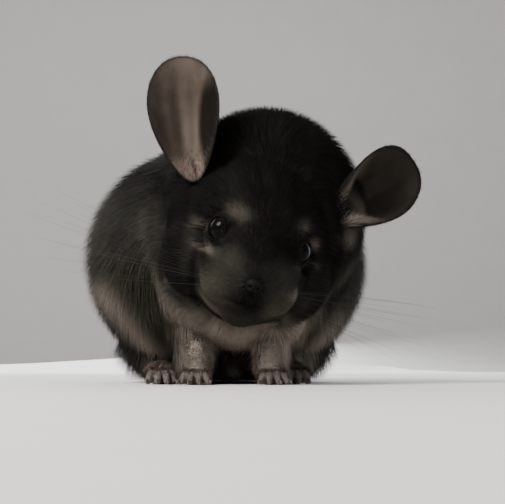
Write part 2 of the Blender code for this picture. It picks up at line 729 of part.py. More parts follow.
def make_tail_brush(group):
    """The core of the tail with rows of bristly locks round it, longest above and at the tip."""
    core = along("tail_brush", TAIL_BRUSH, 9, 12, group)
    rows = through(TAIL_BRUSH, 60)
    last = len(rows) - 1
    draw = np.random.default_rng(LOCK_SEED)
    locks = []
    for row in range(LOCK_ROWS):
        share = 0.10 + 0.80 * row / (LOCK_ROWS - 1)
        place = int(share * last)
        spot, radius = Vector(rows[place][:3]), rows[place][3]
        ahead = (Vector(rows[min(last, place + 2)][:3]) - spot).normalized()
        right = ahead.cross(Vector((0, 0, 1))).normalized()
        up = right.cross(ahead)
        for k in range(LOCKS_ROUND):
            turn = 2 * math.pi * (k + 0.5 * (row % 2)) / LOCKS_ROUND + draw.uniform(-0.12, 0.12)
            outward = right * math.cos(turn) + up * math.sin(turn)
            above = 0.5 + 0.5 * outward.z
            length = LOCK_LENGTH * (LOCK_BELOW + (1 - LOCK_BELOW) * above)
            length *= draw.uniform(0.88, 1.08) * (1.0 - 0.12 * share)
            root = spot + outward * radius * 0.45
            locks.append(make_lock(f"lock_{row}_{k}", root, ahead, outward, length, group))
    return united(core, locks, group)


def paint(obj):
    """Gives the object a material of its own, and smooth shading."""
    colour, roughness = FINISHES[NODE_FINISHES[obj.name.split("_")[0]]]
    material = bpy.data.materials.new(obj.name)
    material.use_nodes = True
    shader = material.node_tree.nodes["Principled BSDF"]
    shader.inputs["Base Color"].default_value = colour
    shader.inputs["Roughness"].default_value = roughness
    material.diffuse_color = colour
    obj.data.materials.clear()
    obj.data.materials.append(material)
    obj.data.shade_smooth()
    obj.data.set_sharp_from_angle(angle=math.radians(EDGE_ANGLE))


def centre_on_floor(objects):
    """Moves the model so that its origin is under the middle of its box, at floor level."""
    corners = np.array([v.co for obj in objects for v in obj.data.vertices])
    low, high = corners.min(axis=0), corners.max(axis=0)
    shift = Matrix.Translation((-(low[0] + high[0]) / 2, -(low[1] + high[1]) / 2, 0))
    for obj in objects:
        obj.data.transform(shift)


def main():
    clear_scene()
    group = collection("chinchilla")
    cutters = collection("cutters")
    cutters.hide_render = True
    to_head = head_matrix()
    head, pads, head_room = make_head(group, cutters)
    eyes, ears = [], []
    for side, sign in SIDES:
        place = mirrored(EYE_PLACE, sign)
        eyes.append(ellipsoid("eye_" + side, place, [EYE_RADIUS] * 3, group, 16))
        ears.append(make_ear(side, sign, group))
    for obj in (head, head_room, *pads, *eyes, *ears):
        obj.data.transform(to_head)

    torso = make_body(group)
    floor = block("floor_cut", *FLOOR_CUT, cutters)
    cut(torso, floor)
    for ear in ears:
        cut(ear, head_room)
    make_room(torso, cutters, *ears)
    cut(torso, head_room)

    hindfeet, foot_rooms = zip(*[make_hindfoot(*side, group, cutters) for side in SIDES])
    forepaws = [make_forepaw(*side, group) for side in SIDES]
    for foot in (*hindfeet, *forepaws):
        cut(foot, floor)

    forelegs, thighs = [], []
    for side, sign in SIDES:
        pieces = ((forelegs, "foreleg_", FORELEG_CUT), (thighs, "thigh_", THIGH_CUT))
        for held, name, (centre, radii) in pieces:
            region = ellipsoid(name + "cut", mirrored(centre, sign), radii, cutters, 16)
            held.append(part_off(torso, name + side, region, group, cutters))
    collar = ellipsoid("neck_cut", *NECK_CUT, cutters, 20)
    part_off(torso, "neck", collar, group, cutters)

    for room, thigh in zip(foot_rooms, thighs):
        cut(thigh, room)
        cut(torso, room)
    for paw in forepaws:
        make_room(paw, cutters, *forelegs)
    tail_root = along("tail_root", TAIL_ROOT, 14, 18, group)
    tail_brush = make_tail_brush(group)
    make_room(tail_root, cutters, torso, tail_brush)
    cut(tail_root, floor)
    cut(tail_brush, floor)
    remove(floor, head_room, *foot_rooms)

    for obj in group.objects:
        paint(obj)
    centre_on_floor(list(group.objects))


main()
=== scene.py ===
"""A museum model of a grey chinchilla: skin, coat, ears, eyes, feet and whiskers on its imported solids.

Numbers are millimetres in the animal's own frame: it looks towards -Y, its left is at +X, and the
floor is z = 0. The head, ears and eyes use the head's frame, x to the animal's left, y backwards
and z up, from the middle between the eyes. Meshes are written in metres, moved by SHIFT.
"""
import itertools
import math

import bmesh
import bpy
import numpy as np
from mathutils import Matrix, Vector
from mathutils.bvhtree import BVHTree


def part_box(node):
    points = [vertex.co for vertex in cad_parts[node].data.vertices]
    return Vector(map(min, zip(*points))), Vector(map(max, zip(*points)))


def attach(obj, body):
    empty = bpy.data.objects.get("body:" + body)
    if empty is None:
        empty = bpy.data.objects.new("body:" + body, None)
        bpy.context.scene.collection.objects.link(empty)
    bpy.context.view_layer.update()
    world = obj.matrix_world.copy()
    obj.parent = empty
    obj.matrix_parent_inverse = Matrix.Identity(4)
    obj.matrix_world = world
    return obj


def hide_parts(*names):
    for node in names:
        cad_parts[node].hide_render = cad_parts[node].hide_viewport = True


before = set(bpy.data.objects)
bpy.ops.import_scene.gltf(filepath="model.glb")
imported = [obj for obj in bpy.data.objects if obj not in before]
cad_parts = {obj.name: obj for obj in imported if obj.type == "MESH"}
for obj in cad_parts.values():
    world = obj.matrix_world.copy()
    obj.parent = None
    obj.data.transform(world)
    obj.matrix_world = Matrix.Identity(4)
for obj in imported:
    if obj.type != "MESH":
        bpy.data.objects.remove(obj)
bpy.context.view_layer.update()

MM = 0.001
SIDES = (("left", 1), ("right", -1))

HEAD_PLACE = np.array((9.8, -14, 59.6))
HEAD_PITCH, HEAD_YAW, HEAD_ROLL = 28, 6, 15
HEAD_SECTIONS = (  # distance back, half width, top, widest height, bottom
    (-28.6, 6.6, -4.2, -10, -16.4), (-24, 12.6, 0.4, -12, -23), (-16, 18.2, 7.8, -14, -31.4),
    (-7, 22, 13.4, -12.5, -37), (2, 27.6, 19, -11.5, -41), (12, 33.6, 24.2, -10.5, -43.5),
    (22, 37.4, 28, -10, -44.5), (32, 37.2, 29.4, -9.5, -43), (42, 30, 24, -7, -33))
HEAD_ENDS = ((-30.6, -10.4), (51, -5))
WHISKER_PAD = ((10.4, -15.4, -14.8), (9.2, 11, 9.4))
CHEEK = ((17.4, 8, -17), (18.8, 22, 20))
BROW = ((12, -1, 4.6), (8, 12, 6.4))
CHIN = ((0, -14, -25.5), (9.5, 9.6, 8.4))
EYE_PLACE, EYE_RADIUS = (14.7, -6, 0.8), 6.2
EYE_GAZE = (0.8, -0.56, 0.2)
LID_GAP = (5.2, 4.4)  # half width and half height of the opening between the lids
NOSE_PAD, NOSE_SHARE = ((0, -29.4, -8.8), (4, 2.8, 3.2)), (0.84, 1, 0.8)
MOUTH_FROM, MOUTH_DROP, MOUTH_SPREAD, MOUTH_DIP = (0, -16, -14), (-0.02, 0.46), 40, 0.1
PAD_MIDDLE, RAY_START = (9, -17, -14.5), 40
RAY_FRONT, RAY_BACK, RAY_SLOPES = (0.66, -0.64), (0.98, 0.04), (0.34, -0.3)
WHISKER_SPREAD, WHISKER_LEAN, WHISKER_RADIUS = (1, 0.5, 0.7), (0.55, 0.28, -0.05), 0.055
WHISKER_LENGTHS, WHISKER_BEND = (46, 78), (0, 0.25, -0.11)

EAR_ROOTS = {"left": (27, 17.4, 8.2), "right": (30.2, 17, 8.6)}
EAR_TIPS = {"left": (64, 50, 36), "right": (51, 46, 51)}
EAR_FACE = (0.3, -0.73, 0.61)
EAR_HALF_WIDTH, EAR_CUP, EAR_THICK = 17, 9, 1
EAR_FLUFF = {  # heights where the pale tufts end and are full, their weight, added length and paleness
    "left": (0.46, 0.1, 2.4, 5.5, (0.16, 0.5)), "right": (0.34, 0.08, 0.2, 1.6, (0.12, 0.12))}

NAPE = ((14.5, 20, 73.5), (43, 33, 45.5))
TORSO_SECTIONS = (
    (-8, 22, 60, 41, 23), (2, 36, 81, 46, 15), (18, 49, 100, 52, 10), (40, 60, 111, 55, 5),
    (67, 66, 116, 57, 2.5), (92, 65, 113, 56, 2), (114, 56, 101, 53, 3), (132, 41, 83, 48, 9),
    (144, 23, 64, 42, 21))
TORSO_ENDS = ((-12, 41), (149, 42))
SADDLE_SECTIONS = ((14, 41, 117, 75, 34), (28, 46.5, 118.4, 72, 26), (44, 53, 118, 66, 18),
                   (58, 58, 116.8, 60, 12), (68, 60, 115.6, 58, 10))
SADDLE_ENDS, SADDLE_LEAN = ((9, 75), (76, 58)), ((16, 62), (14.5, 1))
THIGH = ((27, 75, 24), (23, 37, 26))
FORELEG = ((24, 20, 46, 14), (20, 9, 30, 10), (17, 4.5, 16, 6.8), (15.4, 2.5, 5, 5.2))
TAIL = ((0, 132, 48, 15), (0, 147, 36, 14), (-1, 161, 22, 13), (-3, 174, 13.4, 12.2), (-6.5, 187, 11, 11.4),
        (-12, 200, 10.4, 10.8), (-18, 212, 10.2, 9.8), (-25, 224, 10, 8.2), (-32, 235, 9.6, 6),
        (-38, 243, 9, 3))

FOREPAW_PLACE, FOREPAW_TURN = (15.3, -1), 4
FOREPAW_PALM = ((0, 0.2, 3.3), (5, 6.1, 3.6))
WRIST = ((0, 2.2, 4, 4.1), (0.1, 2.6, 11, 4), (0.2, 3.4, 16, 3.6))
FORE_TOE_ANGLES, FORE_TOE, FORE_KNUCKLES, FORE_SPREAD = (-30, -10, 10, 30), (8.6, 1.3), (5, -3, 3.2), 0.8
HIND_FEET = {"left": (25.4, 4, -4), "right": (29, 1, -3)}
HIND_SOLE = ((0, 56, 4.2, 5.2), (0, 42, 3.9, 4.7), (0, 26, 3.9, 4.7), (0, 12, 3.7, 5))
HIND_TOE_ANGLES, HIND_TOE, HIND_KNUCKLES, HIND_SPREAD = (-21, -7, 7, 21), (12, 1.55), (9, 10.5, 3.7), 0.7
CLAW_LENGTH, CLAW_RADIUS = 2.8, 0.7

SKIN_GRAIN, FOOT_GRAIN, OUTLINE_GRAIN = 1.15, 0.4, 2
COAT = 1  # share of the tufts that are made
HEAD_TUFTS, BODY_TUFTS, EAR_TUFTS, FOREPAW_TUFTS, HINDFOOT_TUFTS = 90000, 120000, 7500, 4200, 7000
MOST_TRIANGLES = 195000  # in one piece of the coat

PALE_SPOTS = (  # weight, centre and radii of each pale patch of the face, in the head's frame
    (0.55, (-13.2, -5.5, 10), (5.6, 5.6, 2.6)), (0.42, (-25.5, 0.8, -2.4), (5.2, 5, 2.1)),
    (0.7, (-23.2, -7, -8.3), (2.9, 4, 1.6)), (0.85, (-19.2, -11.2, -6.9), (3.4, 4.5, 1.5)),
    (0.12, (-15.6, -16.2, -5), (2.4, 3, 1.4)), (0.6, (17.2, -0.2, 9.6), (4.4, 5, 2.4)),
    (1, (23.3, 2.4, 2.4), (3, 4, 2.2)), (1.15, (19.4, -9.5, -2.8), (3.6, 4.5, 1.3)),
    (0.9, (23.6, -0.6, -4.9), (3.4, 3, 1.3)), (1.9, (18.5, -18.9, -12.7), (3.2, 4, 2)),
    (0.6, (22.7, -9.6, -18), (3.4, 4, 4)), (1, (39.4, 18, 5.6), (4, 6, 4.5)),
    (1.4, (41.5, 29.5, 14.6), (5, 6, 4)), (0.4, (36, 26, 19.7), (4, 5, 3.6)))

CAMERA_PLACE, CAMERA_WAY, CAMERA_RISE = (-19.4, -448, 7.6), (0.061, 0.998, 0), 6
SENSOR, PICTURE_WIDTH, FOCAL_LENGTH = 36, 505, 1085  # mm, and the last two in pixels of the picture
LAMPS = (  # name, place, aim, size, power, colour
    ("key", (-520, -420, 620), (0, 20, 50), 420, 16, (1, 0.97, 0.93)),
    ("fill", (340, -700, 100), (0, 0, 40), 500, 1.9, (0.97, 0.98, 1)),
    ("back", (-200, 900, 330), (0, 90, 50), 1000, 14, (0.95, 0.98, 1)),
    ("side", (560, 640, 190), (20, 60, 50), 1000, 5, (0.97, 0.98, 1)))
ROOM_LIGHT = 0.42
FLOOR_HALF, FLOOR_NEAR, BEND_START, BEND_RADIUS, WALL_TOP = 3000, -2500, 900, 500, 3000


# Small sums on whole arrays

def unit(rows):
    return rows / np.maximum(np.linalg.norm(rows, axis=-1, keepdims=True), 1e-9)


def ease(low, high, x):
    """0 below low, 1 above high, and a smooth step between; low may be the larger."""
    t = np.clip((x - low) / (high - low), 0, 1)
    return t * t * (3 - 2 * t)


def bump_at(points, centre, radii):
    """A soft spot: exp of minus the squared distance from the centre, measured in radii."""
    return np.exp(-(((points - np.array(centre)) / np.array(radii)) ** 2).sum(axis=1))


def band_at(x, middle, width):
    """1 at the middle, falling as a bell on both sides."""
    return np.exp(-(((x - middle) / width) ** 2))


def waves(points, scale, seed, terms=14):
    """Smooth noise, about -1 to 1: the mean of sines that run in random directions with random phases."""
    draw = np.random.default_rng(seed)
    ways = unit(draw.normal(size=(terms, 3))) * draw.uniform(0.6, 1.7, (terms, 1)) * 2 * math.pi / scale
    return np.sin(points @ ways.T + draw.uniform(0, 2 * math.pi, terms)).mean(axis=1) * 2.2


def circle(count):
    """That many even angles round a full turn."""
    return np.linspace(0, 2 * math.pi, count, endpoint=False)


def along_skin(way, normals):
    """The way without its part along the normals."""
    return way - normals * (way * normals).sum(axis=1)[:, None]


def through(stations, count):
    """A Catmull-Rom curve through the stations, as that many evenly stepped rows of numbers."""
    rows = np.array(stations, float)
    rows = np.vstack([2 * rows[0] - rows[1], rows, 2 * rows[-1] - rows[-2]])
    steps = np.linspace(0, len(rows) - 3 - 1e-9, count)
    first = steps.astype(int)
    t = (steps - first)[:, None]
    a, b, c, d = (rows[first + k] for k in range(4))
    return 0.5 * (2 * b + (c - a) * t + (2 * a - 5 * b + 4 * c - d) * t**2 + (3 * b - a - 3 * c + d) * t**3)


def turned(degrees, axis):
    return Matrix.Rotation(math.radians(degrees), 3, axis)


HEAD_TURN = np.array(turned(HEAD_ROLL, "Y") @ turned(HEAD_YAW, "Z") @ turned(HEAD_PITCH, "X"))


def from_head(points):
    return np.asarray(points) @ HEAD_TURN.T + HEAD_PLACE


def to_head(points):
    return (np.asarray(points) - HEAD_PLACE) @ HEAD_TURN


def mirrored(place, sign):
    return (place[0] * sign, *place[1:])


EYE_LOW, EYE_HIGH = (np.array(corner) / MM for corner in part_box("eye_left"))
SHIFT = (EYE_LOW + EYE_HIGH) / 2 - from_head(EYE_PLACE)


# Closed forms: each is (points, faces)

def tube(rings, first, last):
    """Rings of points joined by quads, with a fan to one point at each end."""
    rings = np.asarray(rings)
    count, around = rings.shape[:2]
    points = np.vstack([[first], rings.reshape(-1, 3), [last]])
    k = np.arange(around)
    n = (k + 1) % around
    r = 1 + around * np.arange(count - 1)[:, None]
    quads = np.stack([r + k, r + n, r + around + n, r + around + k], axis=-1).reshape(-1, 4)
    end = len(points) - 1
    near = np.stack([0 * k, 1 + n, 1 + k], axis=-1)
    far = np.stack([0 * k + end, end - around + k, end - around + n], axis=-1)
    return points, quads.tolist() + near.tolist() + far.tolist()


def egg(sections, ends, depth, count=44, around=52):
    """Rings across y, each with its half width and its heights above and below the widest level, all less
    the depth there."""
    rows, turns, rings = through(sections, count), circle(around), []
    for back, half, top, wide, low in rows:
        d = depth(back)
        height = np.where(np.sin(turns) > 0, top - wide - d, wide - low - d)
        across, up = (half - d) * np.cos(turns), wide + height * np.sin(turns)
        rings.append(np.column_stack([across, np.full(around, back), up]))
    first, last = ((0, y + way * depth(y), z) for (y, z), way in zip(ends, (1, -1)))
    keep = (rows[:, 0] > first[1] + 0.5) & (rows[:, 0] < last[1] - 0.5)
    return tube(np.array(rings)[keep], first, last)


def ball(centre, radii, less=0, around=32):
    """A sphere stretched to three radii, each less the coat's depth."""
    rise = np.linspace(-math.pi / 2, math.pi / 2, around // 2 + 1)[1:-1, None]
    turns = circle(around)[None, :]
    rings = [np.cos(rise) * np.cos(turns), np.cos(rise) * np.sin(turns), np.sin(rise) + 0 * turns]
    size, centre = np.array(radii) - less, np.array(centre)
    return tube(np.stack(rings, axis=-1) * size + centre, centre - (0, 0, size[2]), centre + (0, 0, size[2]))


def limb(stations, less=0, count=14, around=20, flat=1, side=(1, 0, 0)):
    """A round limb along x, y, z and radius, with rounded ends; flat squeezes it across side."""
    rows = through(stations, count)
    middle, radius = rows[:, :3], np.maximum(rows[:, 3:] - less, 0.015)
    ahead = unit(np.gradient(middle, axis=0))
    right = unit(np.cross(np.cross(ahead, side), ahead))
    up = np.cross(right, ahead)
    turns = circle(around)[None, :, None]
    spokes = np.cos(turns) * right[:, None] + flat * np.sin(turns) * up[:, None]
    rings = middle[:, None] + radius[:, None] * spokes
    caps = [(rings[i] - middle[i]) * 0.7 + middle[i] + way * ahead[i] * radius[i] * 0.5
            for i, way in ((0, -1), (-1, 1))]
    rings = np.vstack([caps[0][None], rings, caps[1][None]])
    return tube(rings, middle[0] - ahead[0] * radius[0] * 0.7, middle[-1] + ahead[-1] * radius[-1] * 0.7)


def joined(forms):
    """Several forms as one list of points and one of faces."""
    points, faces, start = [], [], 0
    for some, links in forms:
        points.append(np.asarray(some))
        faces += [[i + start for i in face] for face in links]
        start += len(some)
    return np.vstack(points), faces


def in_head(form):
    return from_head(form[0]), form[1]


# Meshes

def placed(name, data):
    """An object of the data, linked to the scene."""
    obj = bpy.data.objects.new(name, data)
    bpy.context.scene.collection.objects.link(obj)
    return obj


def mesh_piece(name, form, material=None, outward=True):
    """An object of the form, in metres in the row frame, shaded smooth."""
    points, faces = form
    mesh = bpy.data.meshes.new(name)
    mesh.from_pydata(((np.asarray(points) + SHIFT) * MM).tolist(), [], faces)
    if outward:
        shape = bmesh.new()
        shape.from_mesh(mesh)
        bmesh.ops.recalc_face_normals(shape, faces=shape.faces)
        shape.to_mesh(mesh)
        shape.free()
    mesh.shade_smooth()
    if material is not None:
        mesh.materials.append(material)
    return placed(name, mesh)


def read_out(items, key, width, kind=np.float32):
    """One property of all the items, as an array with that many numbers a row."""
    values = np.empty(len(items) * width, kind)
    items.foreach_get(key, values)
    return values.reshape(-1, width)


def points_of(mesh):
    """The mesh's vertices and their normals, in the animal's frame."""
    places, normals = read_out(mesh.vertices, "co", 3), read_out(mesh.vertex_normals, "vector", 3)
    return places.astype(float) / MM - SHIFT, normals.astype(float)


def set_points(mesh, points):
    mesh.vertices.foreach_set("co", ((points + SHIFT) * MM).astype(np.float32).ravel())
    mesh.update()


def store(mesh, **values):
    """Each named array becomes a number at every vertex."""
    for name, value in values.items():
        held = mesh.attributes.new(name, "FLOAT", "POINT")
        held.data.foreach_set("value", np.broadcast_to(value, len(mesh.vertices)).astype(np.float32))


def flowed(obj, grain, rounds):
    """Fuses the closed forms of the object into one skin: a voxel remesh, then smoothing."""
    skin = obj.modifiers.new("skin", "REMESH")
    skin.mode = "VOXEL"
    skin.voxel_size = grain * MM
    flow = obj.modifiers.new("flow", "SMOOTH")
    flow.factor = 0.5
    flow.iterations = rounds
    bpy.context.view_layer.update()
    made = bpy.data.meshes.new_from_object(obj.evaluated_get(bpy.context.evaluated_depsgraph_get()))
    obj.modifiers.clear()
    obj.data = made
    made.shade_smooth()
    return obj


def smoothed(obj, share, rounds):
    """Moves each vertex half the way to the mean of its neighbours, round by round, times its share."""
    points, _ = points_of(obj.data)
    edges = read_out(obj.data.edges, "vertices", 2, np.int32)
    ends, others = edges.T.ravel(), edges[:, ::-1].T.ravel()
    degree = np.bincount(ends, minlength=len(points))[:, None]
    for _ in range(rounds):
        mean = np.column_stack([np.bincount(ends, axis[others], len(points)) for axis in points.T]) / degree
        points += (mean - points) * (0.5 * share(points))[:, None]
    set_points(obj.data, points)
    return obj


# Materials

class Wire:
    """A socket in a sum: each operator adds one Math node."""

    def __init__(self, paint, socket):
        self.paint, self.socket = paint, socket

    def __add__(self, other):
        return self.paint.node("ShaderNodeMath", {"operation": "ADD"}, (self, other))

    def __mul__(self, other):
        return self.paint.node("ShaderNodeMath", {"operation": "MULTIPLY"}, (self, other))

    __radd__, __rmul__ = __add__, __mul__

    def step(self, low, high):
        """0 below low, 1 above high, smooth between."""
        smooth = {"interpolation_type": "SMOOTHSTEP"}
        return self.paint.node("ShaderNodeMapRange", smooth, (self, low, high, 0, 1))


class Paint:
    """One material: its constants sit on the shader's own sockets."""

    def __init__(self, name, **constants):
        self.material = bpy.data.materials.new(name)
        self.material.use_nodes = True
        self.tree = self.material.node_tree
        self.shader = self.tree.nodes["Principled BSDF"]
        for socket, value in constants.items():
            self.shader.inputs[socket.replace("_", " ")].default_value = value

    def node(self, kind, settings=None, values=(), out=0):
        """Adds a node: its settings first, with a ramp's stops, then its sockets in order or by name."""
        made = self.tree.nodes.new(kind)
        for key, value in (settings or {}).items():
            if key == "stops":
                while len(made.color_ramp.elements) < len(value):
                    made.color_ramp.elements.new(0.5)
                for stop, (place, colour) in zip(made.color_ramp.elements, value):
                    stop.position, stop.color = place, (*colour, 1)
            else:
                setattr(made, key, value)
        for key, value in values.items() if isinstance(values, dict) else enumerate(values):
            if isinstance(value, Wire):
                self.tree.links.new(value.socket, made.inputs[key])
            else:
                made.inputs[key].default_value = value
        return Wire(self, made.outputs[out])

    def read(self, name):
        return self.node("ShaderNodeAttribute", {"attribute_name": name}, out=2)

    def place(self):
        return self.node("ShaderNodeTexCoord", out=3)

    def noise(self, scale, detail=3, stretch=None):
        where = self.place()
        if stretch:
            where = self.node("ShaderNodeMapping", {}, {0: where, 3: stretch})
        return self.node("ShaderNodeTexNoise", {}, {"Vector": where, "Scale": scale, "Detail": detail})

    def mix(self, share, a, b):
        a, b = ((*c, 1) if isinstance(c, tuple) else c for c in (a, b))
        return self.node("ShaderNodeMix", {"data_type": "RGBA"}, {0: share, 6: a, 7: b}, out=2)

    def ramp(self, share, *stops):
        return self.node("ShaderNodeValToRGB", {"stops": stops}, (share,))

    def scaled(self, colour, by):
        return self.node("ShaderNodeVectorMath", {"operation": "SCALE"}, {0: colour, 3: by})

    def bump(self, height, strength, distance):
        return self.node("ShaderNodeBump", {}, {"Height": height, "Strength": strength, "Distance": distance})

    def feed(self, **sockets):
        for socket, value in sockets.items():
            self.tree.links.new(value.socket, self.shader.inputs[socket.replace("_", " ")])
        return self.material


def coat_colour(paint, along):
    """Slate at the root, a paler band, then the tip; veil darkens the tips, as the coat's dark veiling and as
    painted shade, and cream and tan stand for the pale areas."""
    veil, cream, tan, shade = (paint.read(name) for name in ("veil", "cream", "tan", "shade"))
    agouti = paint.ramp(
        along, (0, (0.006, 0.006, 0.006)), (0.42, (0.012, 0.0118, 0.0105)), (0.7, (0.042, 0.041, 0.035)),
        (0.88, (0.036, 0.035, 0.03)), (1, (0.018, 0.0175, 0.015)))
    dark = paint.ramp(along, (0, (0.0026, 0.0026, 0.0024)), (0.5, (0.0038, 0.0037, 0.0032)),
                      (1, (0.0028, 0.0028, 0.0025)))
    pale = paint.ramp(along, (0, (0.05, 0.042, 0.035)), (0.4, (0.15, 0.126, 0.106)), (1, (0.3, 0.254, 0.216)))
    olive = paint.ramp(along, (0, (0.012, 0.011, 0.008)), (0.5, (0.04, 0.037, 0.026)),
                       (1, (0.066, 0.06, 0.043)))
    colour = paint.mix(veil, agouti, dark)
    colour = paint.mix(tan, colour, olive)
    colour = paint.mix(cream, colour, pale)
    return paint.scaled(colour, shade)


def fur_material():
    paint = Paint("coat_fur", Roughness=0.75, Specular_IOR_Level=0.02)
    return paint.feed(Base_Color=coat_colour(paint, paint.read("along")))


def skin_material():
    paint = Paint("hide", Roughness=0.85, Specular_IOR_Level=0.02)
    fuzz = paint.noise(900, 4)
    colour = coat_colour(paint, fuzz * 0.3 + 0.12)
    return paint.feed(Base_Color=colour, Normal=paint.bump(fuzz, 0.4, 0.0006))


def eye_material():
    """Nearly black: a black pupil in a very dark brown iris with faint rays, and a black rim."""
    paint = Paint("eye_glass", Roughness=0.15, Specular_IOR_Level=0.05)
    ring = paint.read("ring")
    rays = paint.noise(600)
    iris = paint.mix(rays.step(0.35, 0.7), (0.003, 0.0022, 0.0018), (0.007, 0.0048, 0.0036))
    colour = paint.mix(ring.step(0.34, 0.4), (0.002, 0.002, 0.002), iris)
    return paint.feed(Base_Color=paint.mix(ring.step(0.72, 0.86), colour, (0.002, 0.0018, 0.0018)))


def rim_material():
    """Dark moist skin with fine creases, for the lids and lips."""
    paint = Paint("rim_skin", Specular_IOR_Level=0.03)
    grain = paint.noise(1400, 4)
    colour = paint.mix(grain.step(0.3, 0.8), (0.0018, 0.0017, 0.0016), (0.0046, 0.0042, 0.0038))
    return paint.feed(Base_Color=colour, Roughness=0.6 + grain * 0.2, Normal=paint.bump(grain, 0.3, 0.0003))


def nose_material():
    """Dark brown-grey leather with a pebbled surface, darker in the nostrils with painted shade of the
    openings.
    """
    paint = Paint("nose_leather", Specular_IOR_Level=0.05)
    pebble = paint.node("ShaderNodeTexVoronoi", {}, {"Vector": paint.place(), "Scale": 2600})
    hue = paint.noise(500)
    colour = paint.mix(hue.step(0.35, 0.7), (0.0042, 0.0038, 0.0031), (0.0072, 0.0064, 0.0052))
    colour = paint.mix(paint.read("deep"), colour, (0.002, 0.0016, 0.0015))
    return paint.feed(Base_Color=colour, Roughness=0.48 + pebble * 0.2,
                      Normal=paint.bump(pebble, 0.35, 0.0002))


def ear_material():
    """Inside: tan skin with veins, a paler rib, a pink fold at the root and a dark inner margin of painted
    shade. Outside: dark grey down."""
    paint = Paint("ear_leather", Specular_IOR_Level=0.05)
    inside, margin, rib, fold = (paint.read(name) for name in ("inside", "margin", "rib", "fold"))
    cloud = paint.noise(110)
    vein = paint.noise(190, 5, stretch=(1, 0.5, 0.35))
    bare = paint.mix(cloud.step(0.3, 0.7), (0.058, 0.046, 0.037), (0.078, 0.061, 0.05))
    bare = paint.mix(vein.step(0.52, 0.6) * 0.3, bare, (0.05, 0.036, 0.029))
    bare = paint.mix(rib * 0.5, bare, (0.086, 0.067, 0.055))
    bare = paint.mix(fold, bare, (0.12, 0.09, 0.076))
    bare = paint.mix(margin, bare, (0.0068, 0.006, 0.0048))
    down = paint.mix(cloud.step(0.35, 0.7), (0.007, 0.007, 0.0066), (0.014, 0.0135, 0.0125))
    fine = paint.noise(1300, 4)
    return paint.feed(Base_Color=paint.mix(inside, down, bare), Roughness=0.55 + fine * 0.2,
                      Normal=paint.bump(fine * 0.3 + vein * 0.7, 0.25, 0.0006))


def foot_material():
    """Pinkish-grey skin under a thin pale down."""
    paint = Paint("foot_skin", Specular_IOR_Level=0.25)
    grain = paint.noise(1100, 4)
    colour = paint.mix(grain.step(0.3, 0.75), (0.07, 0.058, 0.05), (0.15, 0.128, 0.11))
    return paint.feed(Base_Color=colour, Roughness=0.6 + grain * 0.2, Normal=paint.bump(grain, 0.5, 0.0004))


def claw_material():
    paint = Paint("claw_horn", Specular_IOR_Level=0.5)
    along = paint.read("along")
    streak = paint.noise(1500, stretch=(1, 0.2, 1))
    colour = paint.mix(along, (0.05, 0.04, 0.034), (0.018, 0.015, 0.013))
    colour = paint.mix(streak.step(0.4, 0.8) * 0.4, colour, (0.12, 0.098, 0.08))
    return paint.feed(Base_Color=colour, Roughness=0.32 + streak * 0.2)


def whisker_material():
    paint = Paint("whisker_hair", Specular_IOR_Level=0.05)
    along, shade = paint.read("along"), paint.read("shade")
    dark = paint.mix(along, (0.006, 0.0055, 0.005), (0.018, 0.017, 0.015))
    return paint.feed(Base_Color=paint.mix(shade, dark, (0.045, 0.042, 0.037)), Roughness=0.35 + along * 0.2)


def floor_material():
    paint = Paint("pale_floor", Specular_IOR_Level=0.2)
    grain = paint.noise(30)
    colour = paint.mix(grain, (0.6, 0.59, 0.57), (0.64, 0.63, 0.61))
    return paint.feed(Base_Color=colour, Roughness=0.8 + grain * 0.1)


# Skin

def head_depth(back):
    """How deep the coat is over the head: thin at the nose, deeper over the cheeks and crown."""
    return np.interp(back, (-28, -20, -8, 6, 20, 40), (0.8, 1.5, 2.6, 4.4, 5.4, 6))


def torso_depth(back):
    return np.interp(back, (-10, 5, 30, 120, 145), (7, 8.5, 10.5, 11, 9))


def saddle(less=(0, 0)):
    """Fills the dip between nape and back: an egg whose middle leans from the nape's to the back's."""
    def depth(back):
        return np.interp(back, SADDLE_LEAN[0], less)

    points, faces = egg(SADDLE_SECTIONS, SADDLE_ENDS, depth, count=24)
    points[:, 0] += np.interp(points[:, 1], *SADDLE_LEAN)
    return points, faces


def skin_forms():
    """The solids' own forms, drawn in by the depth of the coat over each."""
    skull = egg(HEAD_SECTIONS, HEAD_ENDS, head_depth)
    forms = [in_head(form) for form in (skull, ball(*CHIN, 2), ball(*NOSE_PAD, 0.5))]
    socket = (EYE_PLACE, [EYE_RADIUS + 0.9] * 3)
    for _, sign in SIDES:
        for (centre, radii), less in ((WHISKER_PAD, 1.7), (CHEEK, 6), (BROW, 2), (socket, 0.35)):
            forms.append(in_head(ball(mirrored(centre, sign), radii, less)))
    forms += [ball(*NAPE, 4.2), egg(TORSO_SECTIONS, TORSO_ENDS, torso_depth), saddle((4.6, 10.2))]
    for _, sign in SIDES:
        leg = [(x * sign, y, z, r - min(5, 0.12 * z + 0.9)) for x, y, z, r in FORELEG]
        forms += [ball(mirrored(THIGH[0], sign), THIGH[1], 7.5), limb(leg)]
    return joined([*forms, limb(TAIL, 4, count=40)])


def eye_frame(sign):
    """The eye's middle, and the ways across the lids, up them and out along the gaze, in the head's frame."""
    gaze = unit(np.array(mirrored(EYE_GAZE, sign)))
    across = unit(np.cross(gaze, (0, 0, 1)))
    return np.array(mirrored(EYE_PLACE, sign)), across, np.cross(across, gaze), gaze


def lid_edge(out, across, up):
    """1 on the line of the lids, less inside their opening and more outside it."""
    return np.hypot(out @ across / LID_GAP[0], out @ up / LID_GAP[1])


